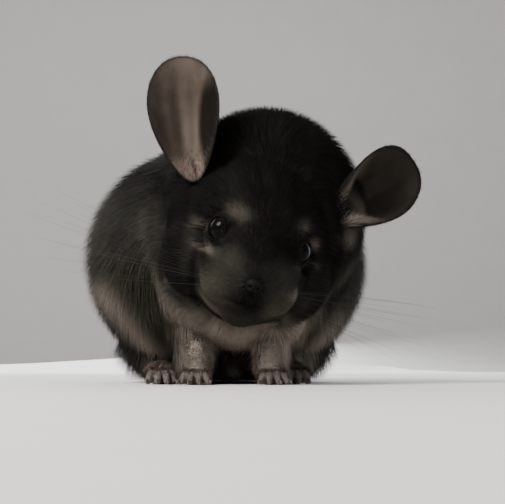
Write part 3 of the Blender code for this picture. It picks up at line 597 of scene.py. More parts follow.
def shaped_face(points):
    """Opens the lids over the eyeballs and dents the skin at the mouth."""
    inner = to_head(points)
    for _, sign in SIDES:
        middle, across, up, gaze = eye_frame(sign)
        out = inner - middle
        far = np.linalg.norm(out, axis=1)
        near = (far < EYE_RADIUS + 4) & (out @ gaze > 0)
        sunk = near * ease(1.12, 0.9, lid_edge(out, across, up))
        inner += unit(out) * (np.minimum(0, EYE_RADIUS - 1.1 - far) * sunk)[:, None]
    mouth = bump_at(inner, (0, -27.5, -17.5), (9, 4, 1.1)) + bump_at(inner, (0, -29.5, -13.5), (0.8, 4, 3))
    inner += np.array((0, 1, 0.1)) * mouth[:, None] * 1.6
    return from_head(inner)


def on_back(points):
    """1 over the back and flanks behind the head, where the forms join, and 0 elsewhere."""
    _, y, z = points.T
    return ease(1.3, 1.6, from_skull(points)) * ease(30, 44, z) * ease(4, 14, y) * ease(122, 108, y)


def make_skin(material):
    skin = smoothed(flowed(mesh_piece("hide", skin_forms()), SKIN_GRAIN, 14), on_back, 60)
    set_points(skin.data, shaped_face(points_of(skin.data)[0]))
    skin.data.materials.append(material)
    return skin


def head_tree(skin):
    """The skin in the head's frame, to cast rays at."""
    places = to_head(points_of(skin.data)[0])
    return BVHTree.FromPolygons(places.tolist(), [tuple(face.vertices) for face in skin.data.polygons])


def met(tree, middle, way):
    """Where a ray from outside, back along the way to the middle, meets the skin."""
    return np.array(tree.ray_cast(np.array(middle) + way * RAY_START, -way)[0])


def coat_outline(names):
    """The solids of flesh fused into one closed outline, out to the tips of the coat."""
    shape = bmesh.new()
    for name in names:
        shape.from_mesh(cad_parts[name].data)
    pads = [in_head(ball(mirrored(WHISKER_PAD[0], sign), WHISKER_PAD[1])) for _, sign in SIDES]
    filled = mesh_piece("filled", joined([saddle(), *pads]))
    shape.from_mesh(filled.data)
    bpy.data.objects.remove(filled)
    bmesh.ops.remove_doubles(shape, verts=shape.verts, dist=1e-6)
    mesh = bpy.data.meshes.new("outline")
    shape.to_mesh(mesh)
    shape.free()
    return smoothed(flowed(placed("outline", mesh), OUTLINE_GRAIN, 6), on_back, 24)


def depth_to(skin, outline, normals):
    """How far each vertex of the skin lies under the outline, from a copy shrink-wrapped to it."""
    copy = placed("wrapped", skin.data.copy())
    copy.modifiers.new("wrap", "SHRINKWRAP").target = outline
    bpy.context.view_layer.update()
    moved, _ = points_of(copy.evaluated_get(bpy.context.evaluated_depsgraph_get()).data)
    gap = moved - points_of(skin.data)[0]
    bpy.data.objects.remove(copy)
    bpy.data.objects.remove(outline)
    return np.linalg.norm(gap, axis=1) * np.sign((gap * normals).sum(axis=1))


# Markings and the lie of the coat, as functions of place

def from_skull(points):
    """Distance from the middle of the head, in sizes of the head: 1 about where its short coat ends."""
    x, y, z = to_head(points).T
    rise = np.where(z > -10, (z + 10) / 38, (z + 10) / 31)
    return np.sqrt((x / 33) ** 2 + ((y - 6) / 37) ** 2 + rise**2)


def head_share(points):
    return ease(1.12, 0.94, from_skull(points))


def markings(points):
    """Where the coat is veiled dark, partly with painted shade, cream or olive-tan, as (veil, cream, tan)
    from 0 to 1; the tan holds a faint painted highlight. Each mark is a product of smooth steps or a soft
    spot; bx, by and bz are body places, the others the head's."""
    inner, skull = to_head(points), from_skull(points)
    across, y, z = inner.T
    x = np.abs(across)
    side = np.column_stack([x, y, z])
    body_x, by, bz = points.T
    bx = np.abs(body_x - 1)
    left, left_body = ease(-2, 4, across), ease(-4, 12, body_x)
    head = ease(1.3, 1.1, skull)
    body = 1 - head
    ring = np.hypot(x / 39, (z + 10) / 26.5)
    veil = 0.6 * head + 0.38 * body
    veil += 0.75 * ease(-10, 8, z + 0.25 * y) * ease(1.9, 1.4, skull) * (1 - 0.6 * ease(-32, -44, across))
    # A dark band along the face's lower rim, above the ruff: painted shade under the head
    veil += 0.26 * band_at(ring, 0.97, 0.1) * ease(-3, -13, z) * (1 - 0.5 * left)
    veil += 0.34 * ease(0.66, 0.86, ring) * head * (1 - left) * ease(-34, -24, z)
    # Darker over the animal's left side of the head: painted shade of the side turned from the key light
    veil += 0.3 * ease(8, 34, across) * ease(0.4, 0.9, ring) * head
    # middle: darker below the nose and down the lip's cleft: painted shade of the nose and mouth
    middle = bump_at(side, (0, -26, -14), (6.5, 10, 11))
    veil += 0.52 * middle + 0.3 * bump_at(side, (0, -16, 4), (7, 12, 9))
    veil += 0.5 * bump_at(side, (18.5, -14.2, -10.6), (5, 5, 2.6))
    light = sum(weight * bump_at(inner, centre, radii) for weight, centre, radii in PALE_SPOTS)
    pad = bump_at(side, (14.8, -19.5, -19), (7.8, 9, 8.4)) * ease(4, 9, x)
    # Faint tan on the upper sides of the muzzle: a painted highlight
    bridge_highlight = bump_at(side, (10.5, -22, -5.6), (3.4, 6, 3))
    chin = bump_at(side, (0, -16, -29), (17, 12, 5))
    jowl = bump_at(inner, (-11, -13, -30), (6.5, 9, 5))
    jowl += 0.8 * bump_at(inner, (-15.8, -8, -28.5), (4.5, 5, 6))
    # crease: darker and less tan at the outer edge of the right whisker pad: painted shade in the crease
    # there
    crease = bump_at(inner, (-19.5, -14.5, -11), (6, 7, 2.4))
    lap = bump_at(inner, (20, -6.5, -31.5), (8, 8, 4.5))

    band = (bx - 44.8) * 0.791 - (bz - 19.4) * 0.612
    fringe = band_at(band, -1.8, 3.9) * ease(120, 80, by)
    fringe *= ((1 - left_body) * ease(52, 38, bz) * 0.82
               + left_body * (0.12 * ease(60, 44, bz) + 1.5 * ease(36, 20, bz) * ease(80, 56, by)))
    # under: the haunch below the pale fringe is darker, partly its own dark grey, partly painted shade of its
    # underside
    under = ease(2.5, 5.5, band) * ease(58, 40, bz)
    olive = ease(-5.5, -8.5, band) * ease(60, 44, bz) * ease(48, 30, by) * body
    # The belly's cream fades out towards the front, and arch takes cream from the gap between the forelegs:
    # painted shade under the chest
    belly = ease(10, 5, bz) * ease(110, 60, by) * ease(30, 22, bx) * ease(24, 40, by)
    beyond = ease(1.03, 1.1, ring)
    arch = ease(0.75, 1.15, np.hypot((body_x + 1) / np.where(body_x < -1, 6.5, 12.5), bz / 10.4))
    shin = ease(-8, -14, body_x)
    reach = 21.5 + 0.1 * np.maximum(0, bz - 8) + left_body * (2.5 + 9 * ease(9, 14, bz))
    behind = 12 * left_body
    legs = ease(32, 22, bz) * ease(26 + behind, 14 + behind, by) * ease(reach + 2, reach - 3, bx)
    legs = legs * beyond * arch * (0.8 + 0.2 * left - 0.55 * shin * ease(6, 15, bz))
    chest = ease(22, 10, by) * ease(34, 27, bz) * ease(28, 22, bx) * beyond * arch * (1 - 0.45 * shin)
    hock = ease(25, 29, bx) * ease(40, 34, bx) * ease(20, 12, bz) * ease(6, 12, by) * ease(62, 48, by)
    below = ease(-26, -38, z) * ease(-38, -26, across)
    ruff = ease(1.13, 1.19, ring) * ease(1.27 + 0.3 * below, 1.2 + 0.24 * below, ring)
    ruff = ruff * ease(-2, -14, z) * ease(36, 24, y)
    ruff *= np.interp(z, (-42, -39, -37, -30, -20), (0.5, 0.41, 0.29, 0.19, 0.12))
    ruff *= 0.8 + 0.7 * left
    back = ease(70, 98, bz) * body
    veil += (0.62 * back + 0.45 * under * ease(110, 76, by) + 0.3 * olive + 0.6 * crease
             + 0.12 * ease(60, 110, by) * body)

    cream = np.maximum.reduce([ruff, chest * (0.46 + 0.4 * ease(16, 12, bz)), fringe * 0.68, belly * 0.4,
                               legs * 0.9, hock * 0.3, light * 0.26, 0.3 * lap, 0.1 * jowl])
    tan = np.maximum.reduce([pad * 0.8, bridge_highlight * 0.22, chin * 0.1]) * head * (1 - 0.8 * middle)
    tan = np.maximum.reduce([tan * (1 - 0.7 * crease), 0.75 * light, 0.25 * olive, 0.8 * jowl])
    veil = np.clip(veil, 0, 1) * (1 - 0.85 * np.minimum(1, light)) * (1 - 0.5 * np.maximum(pad, jowl))
    veil = veil * (1 - 0.6 * lap) + 0.08 * waves(points * (1, 1, 0.5), 16, 3) + 0.12 * ease(150, 172, by)
    # socket: darker round the opening of the lids, most towards the nose and below the eye: painted shade of
    # the eye socket
    _, over, up, _ = eye_frame(1)
    out = side - EYE_PLACE
    socket = ease(1.75, 1.15, lid_edge(out, over, up)) * (np.linalg.norm(out, axis=1) < 13)
    socket = 0.9 * np.maximum(socket, bump_at(side, (10.4, -11.5, -1.5), (3, 4.5, 3.4)))
    return [np.clip(mark, 0, 1) for mark in (veil + socket, cream * (1 - socket), tan * (1 - socket))]


def lie_of(points, normals):
    """The way the hair runs, flat on the skin: from the nose back over the head, down the chest and legs,
    down and back along the flanks, along the tail."""
    x, y, z = points.T
    ones = np.ones(len(points))
    head = head_share(points)[:, None]
    sideways = np.clip(to_head(points)[:, 0] / 26, -1, 1)
    over = np.column_stack([0.35 * sideways, ones, -0.3 - 0.35 * np.abs(sideways)]) @ HEAD_TURN.T
    flank = ease(12, 44, np.abs(x - 3)) * ease(112, 88, z)
    apart = np.clip(x / 24, -1, 1)
    body = np.column_stack([0.12 * apart, ones - 0.45 * flank, -0.15 - 1.25 * flank])
    down = np.column_stack([0.1 * apart, -0.3 * ones, -ones])
    down[:, 1] -= 0.9 * ease(13, 6, z)
    front = np.maximum(ease(34, 12, y) * ease(70, 50, z), ease(34, 20, z) * ease(40, 26, y))[:, None]
    way = body * (1 - front) + down * front
    tail = ease(128, 146, y)[:, None]
    brush = ease(168, 186, y)[:, None]
    tailwards = (1 - brush) * np.array((0, 0.75, -0.65)) + brush * np.array((-0.5, 0.86, 0.02))
    way = way * (1 - tail) + tail * tailwards
    way = way * (1 - head) + over * head
    swirl = np.column_stack([waves(points, 34, seed) for seed in (21, 22, 23)]) * 0.16
    return unit(along_skin(unit(way) + swirl, normals))


def clump_spots(points, size, seed):
    """For each point the nearest of scattered spots, one at a random place in each cube of a lattice, and
    that spot's own number."""
    cell = np.floor(points / size)
    best = np.full(len(points), np.inf)
    nearest, number = np.zeros_like(points), np.zeros(len(points))
    for step in itertools.product((-1, 0, 1), repeat=3):
        cube = cell + step
        mixed = cube @ np.array((12.9898, 78.233, 37.719)) + seed
        jitter = np.column_stack([np.sin(mixed * k) * 43758.5453 % 1 for k in (1, 1.7, 2.3)])
        spot = (cube + jitter) * size
        far = ((points - spot) ** 2).sum(axis=1)
        closer = far < best
        best[closer], nearest[closer], number[closer] = far[closer], spot[closer], jitter[closer, 0]
    return nearest, number


# Tufts

def scattered(mesh, weight, count, seed, grown):
    """Random roots on the mesh: a triangle by its area times its weight, and an even place in it. Returns
    each array of numbers at the vertices, taken to the roots."""
    count = int(count * COAT)
    mesh.calc_loop_triangles()
    corners = read_out(mesh.loop_triangles, "vertices", 3, np.int32)
    points, _ = points_of(mesh)
    a, b, c = (points[corners[:, k]] for k in range(3))
    area = 0.5 * np.linalg.norm(np.cross(b - a, c - a), axis=1) * weight[corners].mean(axis=1)
    draw = np.random.default_rng(seed)
    total = np.cumsum(area)
    picks = np.searchsorted(total, (np.arange(count) + draw.uniform(size=count)) / count * total[-1])
    u, v = draw.uniform(size=(2, count))
    over = u + v > 1
    u[over], v[over] = 1 - u[over], 1 - v[over]
    corners, shares = corners[np.minimum(picks, len(corners) - 1)], np.column_stack([1 - u - v, u, v])
    return [(values[corners] * (shares if values.ndim == 1 else shares[:, :, None])).sum(axis=1)
            for values in grown]


def tuft_arrays(root, normal, lie, rise, reach, drift, width, rows=2):
    """Each tuft is a thin ridged blade. Its middle line is
    root + normal * rise * sin(t * 90 degrees) + lie * reach * t^1.3 + drift * t^1.6,
    and its half width falls as (1 - t)^0.7. Each row has a left, a ridge and a right point; the tip has
    one."""
    side = unit(np.cross(lie, normal))
    steps = np.linspace(0, 1, rows + 1)
    count = len(root)
    points = np.empty((count, rows * 3 + 1, 3))
    shading = np.empty_like(points)
    for k, t in enumerate(steps):
        middle = root + normal * (rise * math.sin(t * math.pi / 2))[:, None]
        middle = middle + lie * (reach * t**1.3)[:, None] + drift * t**1.6
        if k == rows:
            points[:, -1], shading[:, -1] = middle, normal
            break
        half = (width * (1 - t) ** 0.7)[:, None]
        for j, (across, lift) in enumerate(((-1, 0), (0, 0.55), (1, 0))):
            points[:, 3 * k + j] = middle + side * half * across + normal * half * lift
            shading[:, 3 * k + j] = normal + side * across * 0.55
    lowest = 0.2 + 0.5 * (np.arange(count) * 0.618 % 1)
    points[:, :, 2] = np.maximum(points[:, :, 2], lowest[:, None])
    along = np.concatenate([np.repeat(steps[:-1], 3), [1]])
    across = np.concatenate([np.tile([-1, 0, 1], rows), [0]])
    faces = []
    for a in (3 * k + j for k in range(rows - 1) for j in (0, 1)):
        faces += [(a, a + 1, a + 4), (a, a + 4, a + 3)]
    last = 3 * (rows - 1)
    faces += [(last, last + 1, 3 * rows), (last + 1, last + 2, 3 * rows)]
    return points, unit(shading), along, across, np.array(faces)


def tuft_piece(name, material, home, arrays, marks):
    """One joined mesh of tufts, with their marks, their shading normals and the OFBake map, where each is a
    small patch at its root's home."""
    points, shading, along, across, pattern = arrays
    count, each = points.shape[:2]
    faces = (np.arange(count)[:, None, None] * each + pattern[None]).reshape(-1, 3)
    mesh = bpy.data.meshes.new(name)
    mesh.vertices.add(count * each)
    set_points(mesh, points.reshape(-1, 3))
    mesh.loops.add(faces.size)
    mesh.loops.foreach_set("vertex_index", faces.astype(np.int32).ravel())
    mesh.polygons.add(len(faces))
    mesh.polygons.foreach_set("loop_start", np.arange(0, faces.size, 3, dtype=np.int32))
    mesh.update(calc_edges=True)
    mesh.shade_smooth()
    store(mesh, along=np.tile(along, count), **{key: np.repeat(value, each) for key, value in marks.items()})
    low, high = home.min(axis=0), home.max(axis=0)
    spread = 0.004 + 0.992 * (home - low) / (high - low)
    patch = np.column_stack([across * 0.0015, (along - 0.5) * 0.003])
    corner_uv = (spread[:, None] + patch[None]).reshape(-1, 2)[faces.ravel()]
    mesh.uv_layers.new(name="OFBake").data.foreach_set("uv", corner_uv.astype(np.float32).ravel())
    mesh.normals_split_custom_set_from_vertices(shading.reshape(-1, 3).tolist())
    mesh.materials.append(material)
    obj = placed(name, mesh)
    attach(obj, "root")


def in_pieces(name, material, home, arrays, marks):
    """Cuts a long list of tufts into pieces under the limit of triangles, side by side on the unwrap."""
    points, shading, along, across, pattern = arrays
    order = np.argsort(home[:, 0], kind="stable")
    share = math.ceil(len(points) * len(pattern) / MOST_TRIANGLES)
    for n, part in enumerate(np.array_split(order, share)):
        some = (points[part], shading[part], along, across, pattern)
        marked = {key: value[part] for key, value in marks.items()}
        tuft_piece(f"{name}_{n + 1}", material, home[part], some, marked)


def unwrapped(points, centre, pole):
    """The skin's own shape unrolled round an axis: the angle round it, and the angle down from its pole."""
    out = unit(points - np.array(centre))
    pole = unit(np.array(pole, float))
    first = unit(np.cross(pole, (0.3, 0.2, 1) if abs(pole[2]) < 0.9 else (1, 0.2, 0.1)))
    second = np.cross(pole, first)
    turn = np.arctan2(out @ second, out @ first) / (2 * math.pi) + 0.5
    return np.column_stack([turn, np.arccos(np.clip(out @ pole, -1, 1)) / math.pi])


def coat_plan(points, normals, depth):
    """At each vertex of the skin: the coat's depth, the hair's length, how densely it grows, and its shares
    of the tail's brush and of sleek hair."""
    inner, skull, head = to_head(points), from_skull(points), head_share(points)
    x, y, z = points.T
    brush = ease(176, 190, y)
    depth = np.clip(depth, 0.5, 16) * (1 - brush) + 4 * brush
    muzzle = ease(-6, -20, inner[:, 1]) * head
    length = np.interp(skull, (0.9, 1.1, 1.7), (9, 11, 19)) - 4.5 * muzzle
    lids = np.min([np.linalg.norm(inner - mirrored(EYE_PLACE, sign), axis=1) for _, sign in SIDES], axis=0)
    length = np.minimum(length, 2 + 0.8 * np.maximum(0, lids - EYE_RADIUS))
    chest = ease(44, 26, z) * ease(40, 22, y)
    legs = ease(24, 16, z) * ease(17, 11, y) * ease(6, 10, np.abs(x))
    length = length * (1 - 0.15 * chest) * (1 - legs) + np.interp(z, (4, 12), (4.6, 10)) * legs
    depth += 3 * legs * ease(7, 14, z)
    depth += 1.8 * ease(-4, -16, x) * ease(56, 70, z) * ease(80, 60, y) * (1 - head)
    skirt = band_at(z, 24, 9) * ease(36, 46, np.abs(x)) * ease(30, 50, y)
    depth += (1.3 + 2.4 * skirt) * ease(1.3, 1.7, skull) * ease(122, 100, y) * ease(8, 16, z)
    nape = ease(1.9, 1.4, skull) * ease(52, 70, z)
    hang = ease(-0.1, -0.6, normals[:, 2]) * ease(27, 20, z) * ease(6, 12, y) * ease(62, 46, y)
    hang = hang * ease(44, 36, np.abs(x)) * (1 - legs)
    depth = np.maximum(depth, (z - 1) * hang)
    length = np.maximum(length, 1.15 * (z - 1) * hang)
    length = length * (1 - brush) + 27 * brush
    dense = 1 + 2.6 * head + 5 * muzzle + 1.2 * chest + 3 * legs + 1.5 * nape * (1 - head) + 0.6 * hang
    for _, sign in SIDES:
        middle, across, up, gaze = eye_frame(sign)
        out = inner - middle
        on_eye = (np.linalg.norm(out, axis=1) < EYE_RADIUS + 1.5) * (out @ gaze > 0)
        dense *= 1 - on_eye * ease(1.06, 0.98, lid_edge(out, across, up))
    dense *= ease(0.5, 0.72, (((inner - NOSE_PAD[0]) / NOSE_PAD[1] / NOSE_SHARE) ** 2).sum(axis=1))
    dense *= ease(1, 3, z) * 0.999 + 0.001
    return depth, length, dense, brush, np.maximum(nape, 0.75 * head)


def make_coat(skin, material):
    """Covers the skin: dense silky tufts on the body, shorter on the head, bristles on the tail, all out to
    the solids' outline. A tuft's marks are those of a place some way along it."""
    flesh = ["head", "neck", "torso", "thigh_left", "thigh_right", "foreleg_left", "foreleg_right",
             "tail_root"]
    points, normals = points_of(skin.data)
    depth = depth_to(skin, coat_outline(flesh), normals)
    depth, length, dense, brush, sleek = coat_plan(points, normals, depth)
    veil, cream, tan = markings(points)
    store(skin.data, veil=veil, cream=cream, tan=tan, shade=0.8)
    grown = (points, normals, lie_of(points, normals), depth, length, brush, sleek)
    head = head_share(points)
    skull = (from_head((0, 6, -8)), HEAD_TURN @ (0, 1, 0))
    for name, slot, area, count, seed, fine, seen, (centre, pole) in (
            ("coat_head", "dark_fur", head, HEAD_TUFTS, 1, 0.55, 0.8, skull),
            ("coat_body", "grey_fur", 1 - head, BODY_TUFTS, 2, 1, 0.65, ((2, 70, 52), (0, 0, -1)))):
        root, out, way, deep, long, tail, flat = scattered(skin.data, dense * area, count, seed, grown)
        out, way = unit(out), unit(way)
        draw = np.random.default_rng(seed + 10)
        ragged = draw.uniform(0.9, 1.01, len(root))
        rise = np.minimum(deep * ragged, long * 0.9)
        rise = rise * (1 - tail) + tail * long * draw.uniform(0.25, 0.62, len(root))
        reach = np.sqrt(np.maximum((long * ragged) ** 2 - rise**2, 1))
        drift = np.zeros_like(root)
        for size, pull, key in ((2.2, 0.26, 5), (8, 0.09, 6)):
            spot, number = clump_spots(root, size * fine, key)
            drift += along_skin(spot - root, out) * (pull * (1 - 0.8 * flat))[:, None]
        drift += draw.normal(size=root.shape) * (0.045 * long * (1 - 0.65 * flat))[:, None]
        drift[:, 2] -= 0.05 * long * (1 - tail)
        width = (0.105 + 0.0055 * long + 0.16 * tail) * draw.uniform(0.75, 1.25, len(root))
        veil, cream, tan = markings(root + out * rise[:, None] + way * (reach * seen)[:, None] + drift * seen)
        streak = waves(root * (1, 1, 0.22), 7, 31) * 0.1 + (number - 0.5) * 0.16
        shade = np.clip(1 + (streak + draw.normal(size=len(root)) * 0.16) * (1 - 0.5 * flat), 0.45, 1.7)
        jitter = draw.normal(size=len(root)) * 0.05 * (1 - 0.6 * flat)
        arrays = tuft_arrays(root - out * 0.4, out, way, rise + 0.4, reach, drift, width)
        veil, cream = (np.clip(mark + jitter, 0, 1) for mark in (veil, cream))
        marks = {"veil": veil, "cream": cream, "tan": tan, "shade": shade}
        in_pieces(name, material, unwrapped(root, centre, pole), arrays, marks)


# Ears

def root_fold(rise, broad):
    """The two small folds of skin at the ear's root, with a crease between them."""
    crease = 1 - band_at(broad - 0.9 * rise, -0.18, 0.07)
    return ease(0.24, 0.13, rise) * ease(-0.62, -0.35, broad) * crease


def ear_point(side, sign, turn, share):
    """A cupped oval leaf over a disc: rise runs from root to tip, broad across it, the middle is pushed back,
    and the rims curl forwards more at the root."""
    root, tip = np.array(mirrored(EAR_ROOTS[side], sign)), np.array(mirrored(EAR_TIPS[side], sign))
    length = np.linalg.norm(tip - root)
    up = unit(tip - root)
    face = np.array(mirrored(EAR_FACE, sign))
    face = unit(face - up * (face @ up))
    across = np.cross(up, face) * sign
    rise = 0.5 - 0.5 * np.cos(turn) * share
    broad = np.sin(turn) * share
    narrow = 1 - 0.42 * (1 - rise) ** 1.6
    cup = EAR_CUP * (1 - share**2) * (0.6 + 0.5 * np.sin(math.pi * rise)) + 2 * rise**2
    curl = (3.5 + 5 * (1 - rise)) * broad**2 + 2.6 * np.maximum(0, -broad) ** 2
    folds = 0.45 * np.sin(broad * 13 + rise * 3) * (1 - share**4) * ease(0.1, 0.4, rise) * ease(1, 0.7, rise)
    folds += 2.4 * root_fold(rise, broad) * (1 - share**6)
    ruffle = 0.5 * np.sin(turn * 5 + 1) * share**6
    lean = (curl - cup + folds + ruffle)[..., None]
    place = root + up * (length * rise)[..., None]
    place = place + across * (EAR_HALF_WIDTH * narrow * broad)[..., None] + face * lean
    return from_head(place), rise, broad


def make_ear(side, sign, material):
    """The leaf's front sheet from its middle to the rim, then its back sheet from the rim to the middle, a
    wall's thickness behind."""
    turn, share = np.broadcast_arrays(circle(84)[None, :], np.linspace(0, 1, 30)[1:, None])
    front, rise, broad = ear_point(side, sign, turn, share)
    step = 1e-3
    onwards, _, _ = ear_point(side, sign, turn + step, share)
    inwards, _, _ = ear_point(side, sign, turn, share - step)
    normal = unit(np.cross(onwards - front, inwards - front))
    face = np.array(mirrored(EAR_FACE, sign)) @ HEAD_TURN.T
    normal *= np.sign((normal * face).sum(axis=-1))[..., None]
    wall = (EAR_THICK * np.sqrt(np.maximum(1 - share**10, 0)) + 0.12)[..., None]
    front, back = front + normal * wall / 2, front - normal * wall / 2
    middle = front[0].mean(axis=0), back[0].mean(axis=0)
    ear = mesh_piece("ear_leaf_" + side, tube(np.concatenate([front, back[::-1]]), *middle), material)
    sheet = slice(1, 1 + share.size)
    inside, margin, rib, fold = np.zeros((4, len(ear.data.vertices)))
    inside[sheet] = ease(1, 0.965, share).ravel()
    inside[0] = 1
    inner_edge = 0.33 + 2 * (rise - 0.4) ** 2
    # The margin mark: painted shade on the right ear's folded inner third and over most of the left ear's
    # inside
    if side == "right":
        edge = ease(inner_edge - 0.12, inner_edge + 0.1, -broad) * ease(0.9, 0.66, rise)
        edge = np.maximum(edge, 0.3 * ease(0.45, 0.9, broad))
    else:
        edge = ease(0.22, 0.5, rise + 0.2 * broad) * 0.78
    margin[sheet] = np.clip(edge + 0.4 * ease(0.94, 1, share), 0, 1).ravel()
    rib[sheet] = (band_at(broad, -0.08, 0.24) * ease(0.72, 0.4, rise)).ravel()
    fold[sheet] = (root_fold(rise, broad) * (0.85 if side == "right" else 0.35)).ravel()
    store(ear.data, inside=inside, margin=margin, rib=rib, fold=fold)
    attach(ear, "root")
    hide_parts("ear_" + side)
    return ear


def make_ear_down(ears, material):
    """Short down on the backs and rims of the ears, and longer pale tufts at the roots, most on the left."""
    for (side, sign), ear in zip(SIDES, ears):
        ends, full, bare_weight, longer, pale = EAR_FLUFF[side]
        points, normals = points_of(ear.data)
        inside = read_out(ear.data.attributes["inside"].data, "value", 1)[:, 0]
        root = from_head(mirrored(EAR_ROOTS[side], sign))
        tip = from_head(mirrored(EAR_TIPS[side], sign))
        up = unit(tip - root)
        height = (points - root) @ up / np.linalg.norm(tip - root)
        base = ease(ends, full, height)
        weight = (1 - inside) + inside * bare_weight * base
        grown = (points, normals, base, inside)
        spot, out, low, bare = scattered(ear.data, weight, EAR_TUFTS, 40 + sign, grown)
        out = unit(out)
        draw = np.random.default_rng(50 + sign)
        way = unit(along_skin(up + 0.35 * draw.normal(size=spot.shape), out))
        long = (1.8 + longer * low * bare) * draw.uniform(0.7, 1.15, len(spot))
        rise = long * (0.16 + 0.3 * low)
        drift = draw.normal(size=spot.shape) * 0.25
        arrays = tuft_arrays(spot, out, way, rise, long * 0.95, drift, 0.08 + 0.012 * long)
        marks = {"veil": np.clip(0.75 * (1 - bare), 0, 1), "cream": bare * (pale[0] + pale[1] * low),
                 "tan": 0.5 * bare, "shade": np.clip(1 + 0.2 * draw.normal(size=len(spot)), 0.5, 1.6)}
        home = unwrapped(spot, root + up * 20, up)
        in_pieces("down_ear_" + side, material, home, arrays, marks)


# Eyes, nose and mouth

def make_eyes(glass, rim):
    """Each eye is a ball, a little fuller towards the gaze, in a closed cord of lid skin laid on it."""
    for side, sign in SIDES:
        middle, across, up, gaze = eye_frame(sign)
        around, rows = 64, 40
        fall = np.linspace(0, math.pi, rows + 2)[1:-1, None, None]
        turns = circle(around)[None, :, None]
        radius = (EYE_RADIUS - 0.1) + 0.22 * ease(0.95, 0, fall)
        outwards = np.cos(turns) * across + np.sin(turns) * up
        rings = middle + radius * (np.cos(fall) * gaze + np.sin(fall) * outwards)
        form = tube(rings, middle + gaze * (EYE_RADIUS + 0.12), middle - gaze * (EYE_RADIUS - 0.1))
        ball_piece = mesh_piece("eyeball_" + side, in_head(form), glass)
        angle = np.concatenate([[0], np.repeat(fall.ravel(), around), [math.pi]])
        store(ball_piece.data, ring=angle / (math.pi / 2))
        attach(ball_piece, "root")
        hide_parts("eye_" + side)
        turn = circle(72)[:, None]
        wide, high = LID_GAP[0] * np.cos(turn), LID_GAP[1] * np.sin(turn) * (1 - 0.12 * np.cos(2 * turn))
        out = np.sqrt(np.maximum((EYE_RADIUS + 0.35) ** 2 - wide**2 - high**2, 0.5))
        line = middle + across * wide + up * high + gaze * out
        ahead = unit(np.roll(line, -1, axis=0) - np.roll(line, 1, axis=0))
        lift = unit(line - middle)
        inward = np.cross(ahead, lift)
        spin = circle(12)[None, :, None]
        thick = 0.34 + 0.12 * np.clip(np.sin(turn), 0, 1)[:, :, None]
        rings = line[:, None] + thick * (np.cos(spin) * lift[:, None] * 0.8 + np.sin(spin) * inward[:, None])
        count, around = rings.shape[:2]
        row, k = np.arange(count)[:, None], np.arange(around)
        r, s, n = row * around, (row + 1) % count * around, (k + 1) % around
        faces = np.stack([r + k, r + n, s + n, s + k], axis=-1).reshape(-1, 4)
        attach(mesh_piece("lid_rim_" + side, (from_head(rings.reshape(-1, 3)), faces.tolist()), rim), "root")


def make_nose(material):
    """An ellipsoid pushed in along two slanted comma slits and a fine cleft between them."""
    centre, radii = np.array(NOSE_PAD[0]), np.array(NOSE_PAD[1]) * NOSE_SHARE
    fall = np.linspace(0, math.pi * 0.62, 71)[1:, None]
    turns = circle(120)[None, :]
    way = [np.sin(fall) * np.cos(turns), -np.cos(fall) + 0 * turns, np.sin(fall) * np.sin(turns)]
    x, y, z = way
    slant = (z + 0.02 - 0.45 * (np.abs(x) - 0.5)) / 0.36
    slit = np.exp(-((np.abs(x) - 0.5 + 0.35 * z) / 0.2) ** 2 - slant**2) * (y < 0.2)
    cleft = np.exp(-(x / 0.07) ** 2) * ease(0.35, -0.2, z)
    rings = centre + np.stack(way, axis=-1) * (radii + 0.05) * (1 - 0.34 * slit - 0.1 * cleft)[..., None]
    tip, back = centre - (0, radii[1] + 0.05, 0), centre + (0, 1.2, 0)
    nose = mesh_piece("nose_leather", in_head(tube(rings, tip, back)), material)
    # The deep mark darkens the nostril slits: painted shade of the openings
    store(nose.data, deep=np.concatenate([[0], np.clip(slit * 1.2, 0, 1).ravel(), [0]]))
    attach(nose, "root")


def make_lips(tree, material):
    """The cleft below the nose and the two arms of the mouth: fine tapered cords of skin on the muzzle."""
    def on_muzzle(side, slope):
        turn = math.radians(side)
        return met(tree, MOUTH_FROM, unit(np.array((math.sin(turn), -math.cos(turn), -slope))))

    lines = [[(*on_muzzle(0, slope), 0.34) for slope in np.linspace(*MOUTH_DROP, 6)]]
    for sign in (1, -1):
        line = []
        for share in np.linspace(0, 1, 9):
            slope = MOUTH_DROP[1] + MOUTH_DIP * math.sin(math.pi * share)
            line.append((*on_muzzle(sign * MOUTH_SPREAD * share, slope), 0.55 * (1 - 0.6 * share)))
        lines.append(line)
    forms = [in_head(limb(line, count=26, around=10, side=(0, 0, 1))) for line in lines]
    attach(mesh_piece("lips", joined(forms), material), "root")


# Feet

def toe_line(start, angle, length, radius):
    """Three stations of a bent toe, from its knuckle to its pad, three of its claw, and the way across it."""
    way = np.array((math.sin(math.radians(angle)), -math.cos(math.radians(angle)), 0))
    knuckle = start + way * length * 0.45 + (0, 0, 1)
    pad = start + way * length * 0.86
    pad[2] = radius * 0.74
    root = pad + way * radius * 0.5 + (0, 0, 0.45)
    tip = pad + way * (radius + CLAW_LENGTH * 0.78)
    tip[2] = 0.35
    arch = (root + tip) / 2 + (0, 0, 0.75)
    toe = [(*start, radius * 0.95), (*knuckle, radius), (*pad, radius * 0.9)]
    claw = [(*root, CLAW_RADIUS), (*arch, CLAW_RADIUS * 0.8), (*tip, CLAW_RADIUS * 0.22)]
    return toe, claw, (way[1], -way[0], 0)


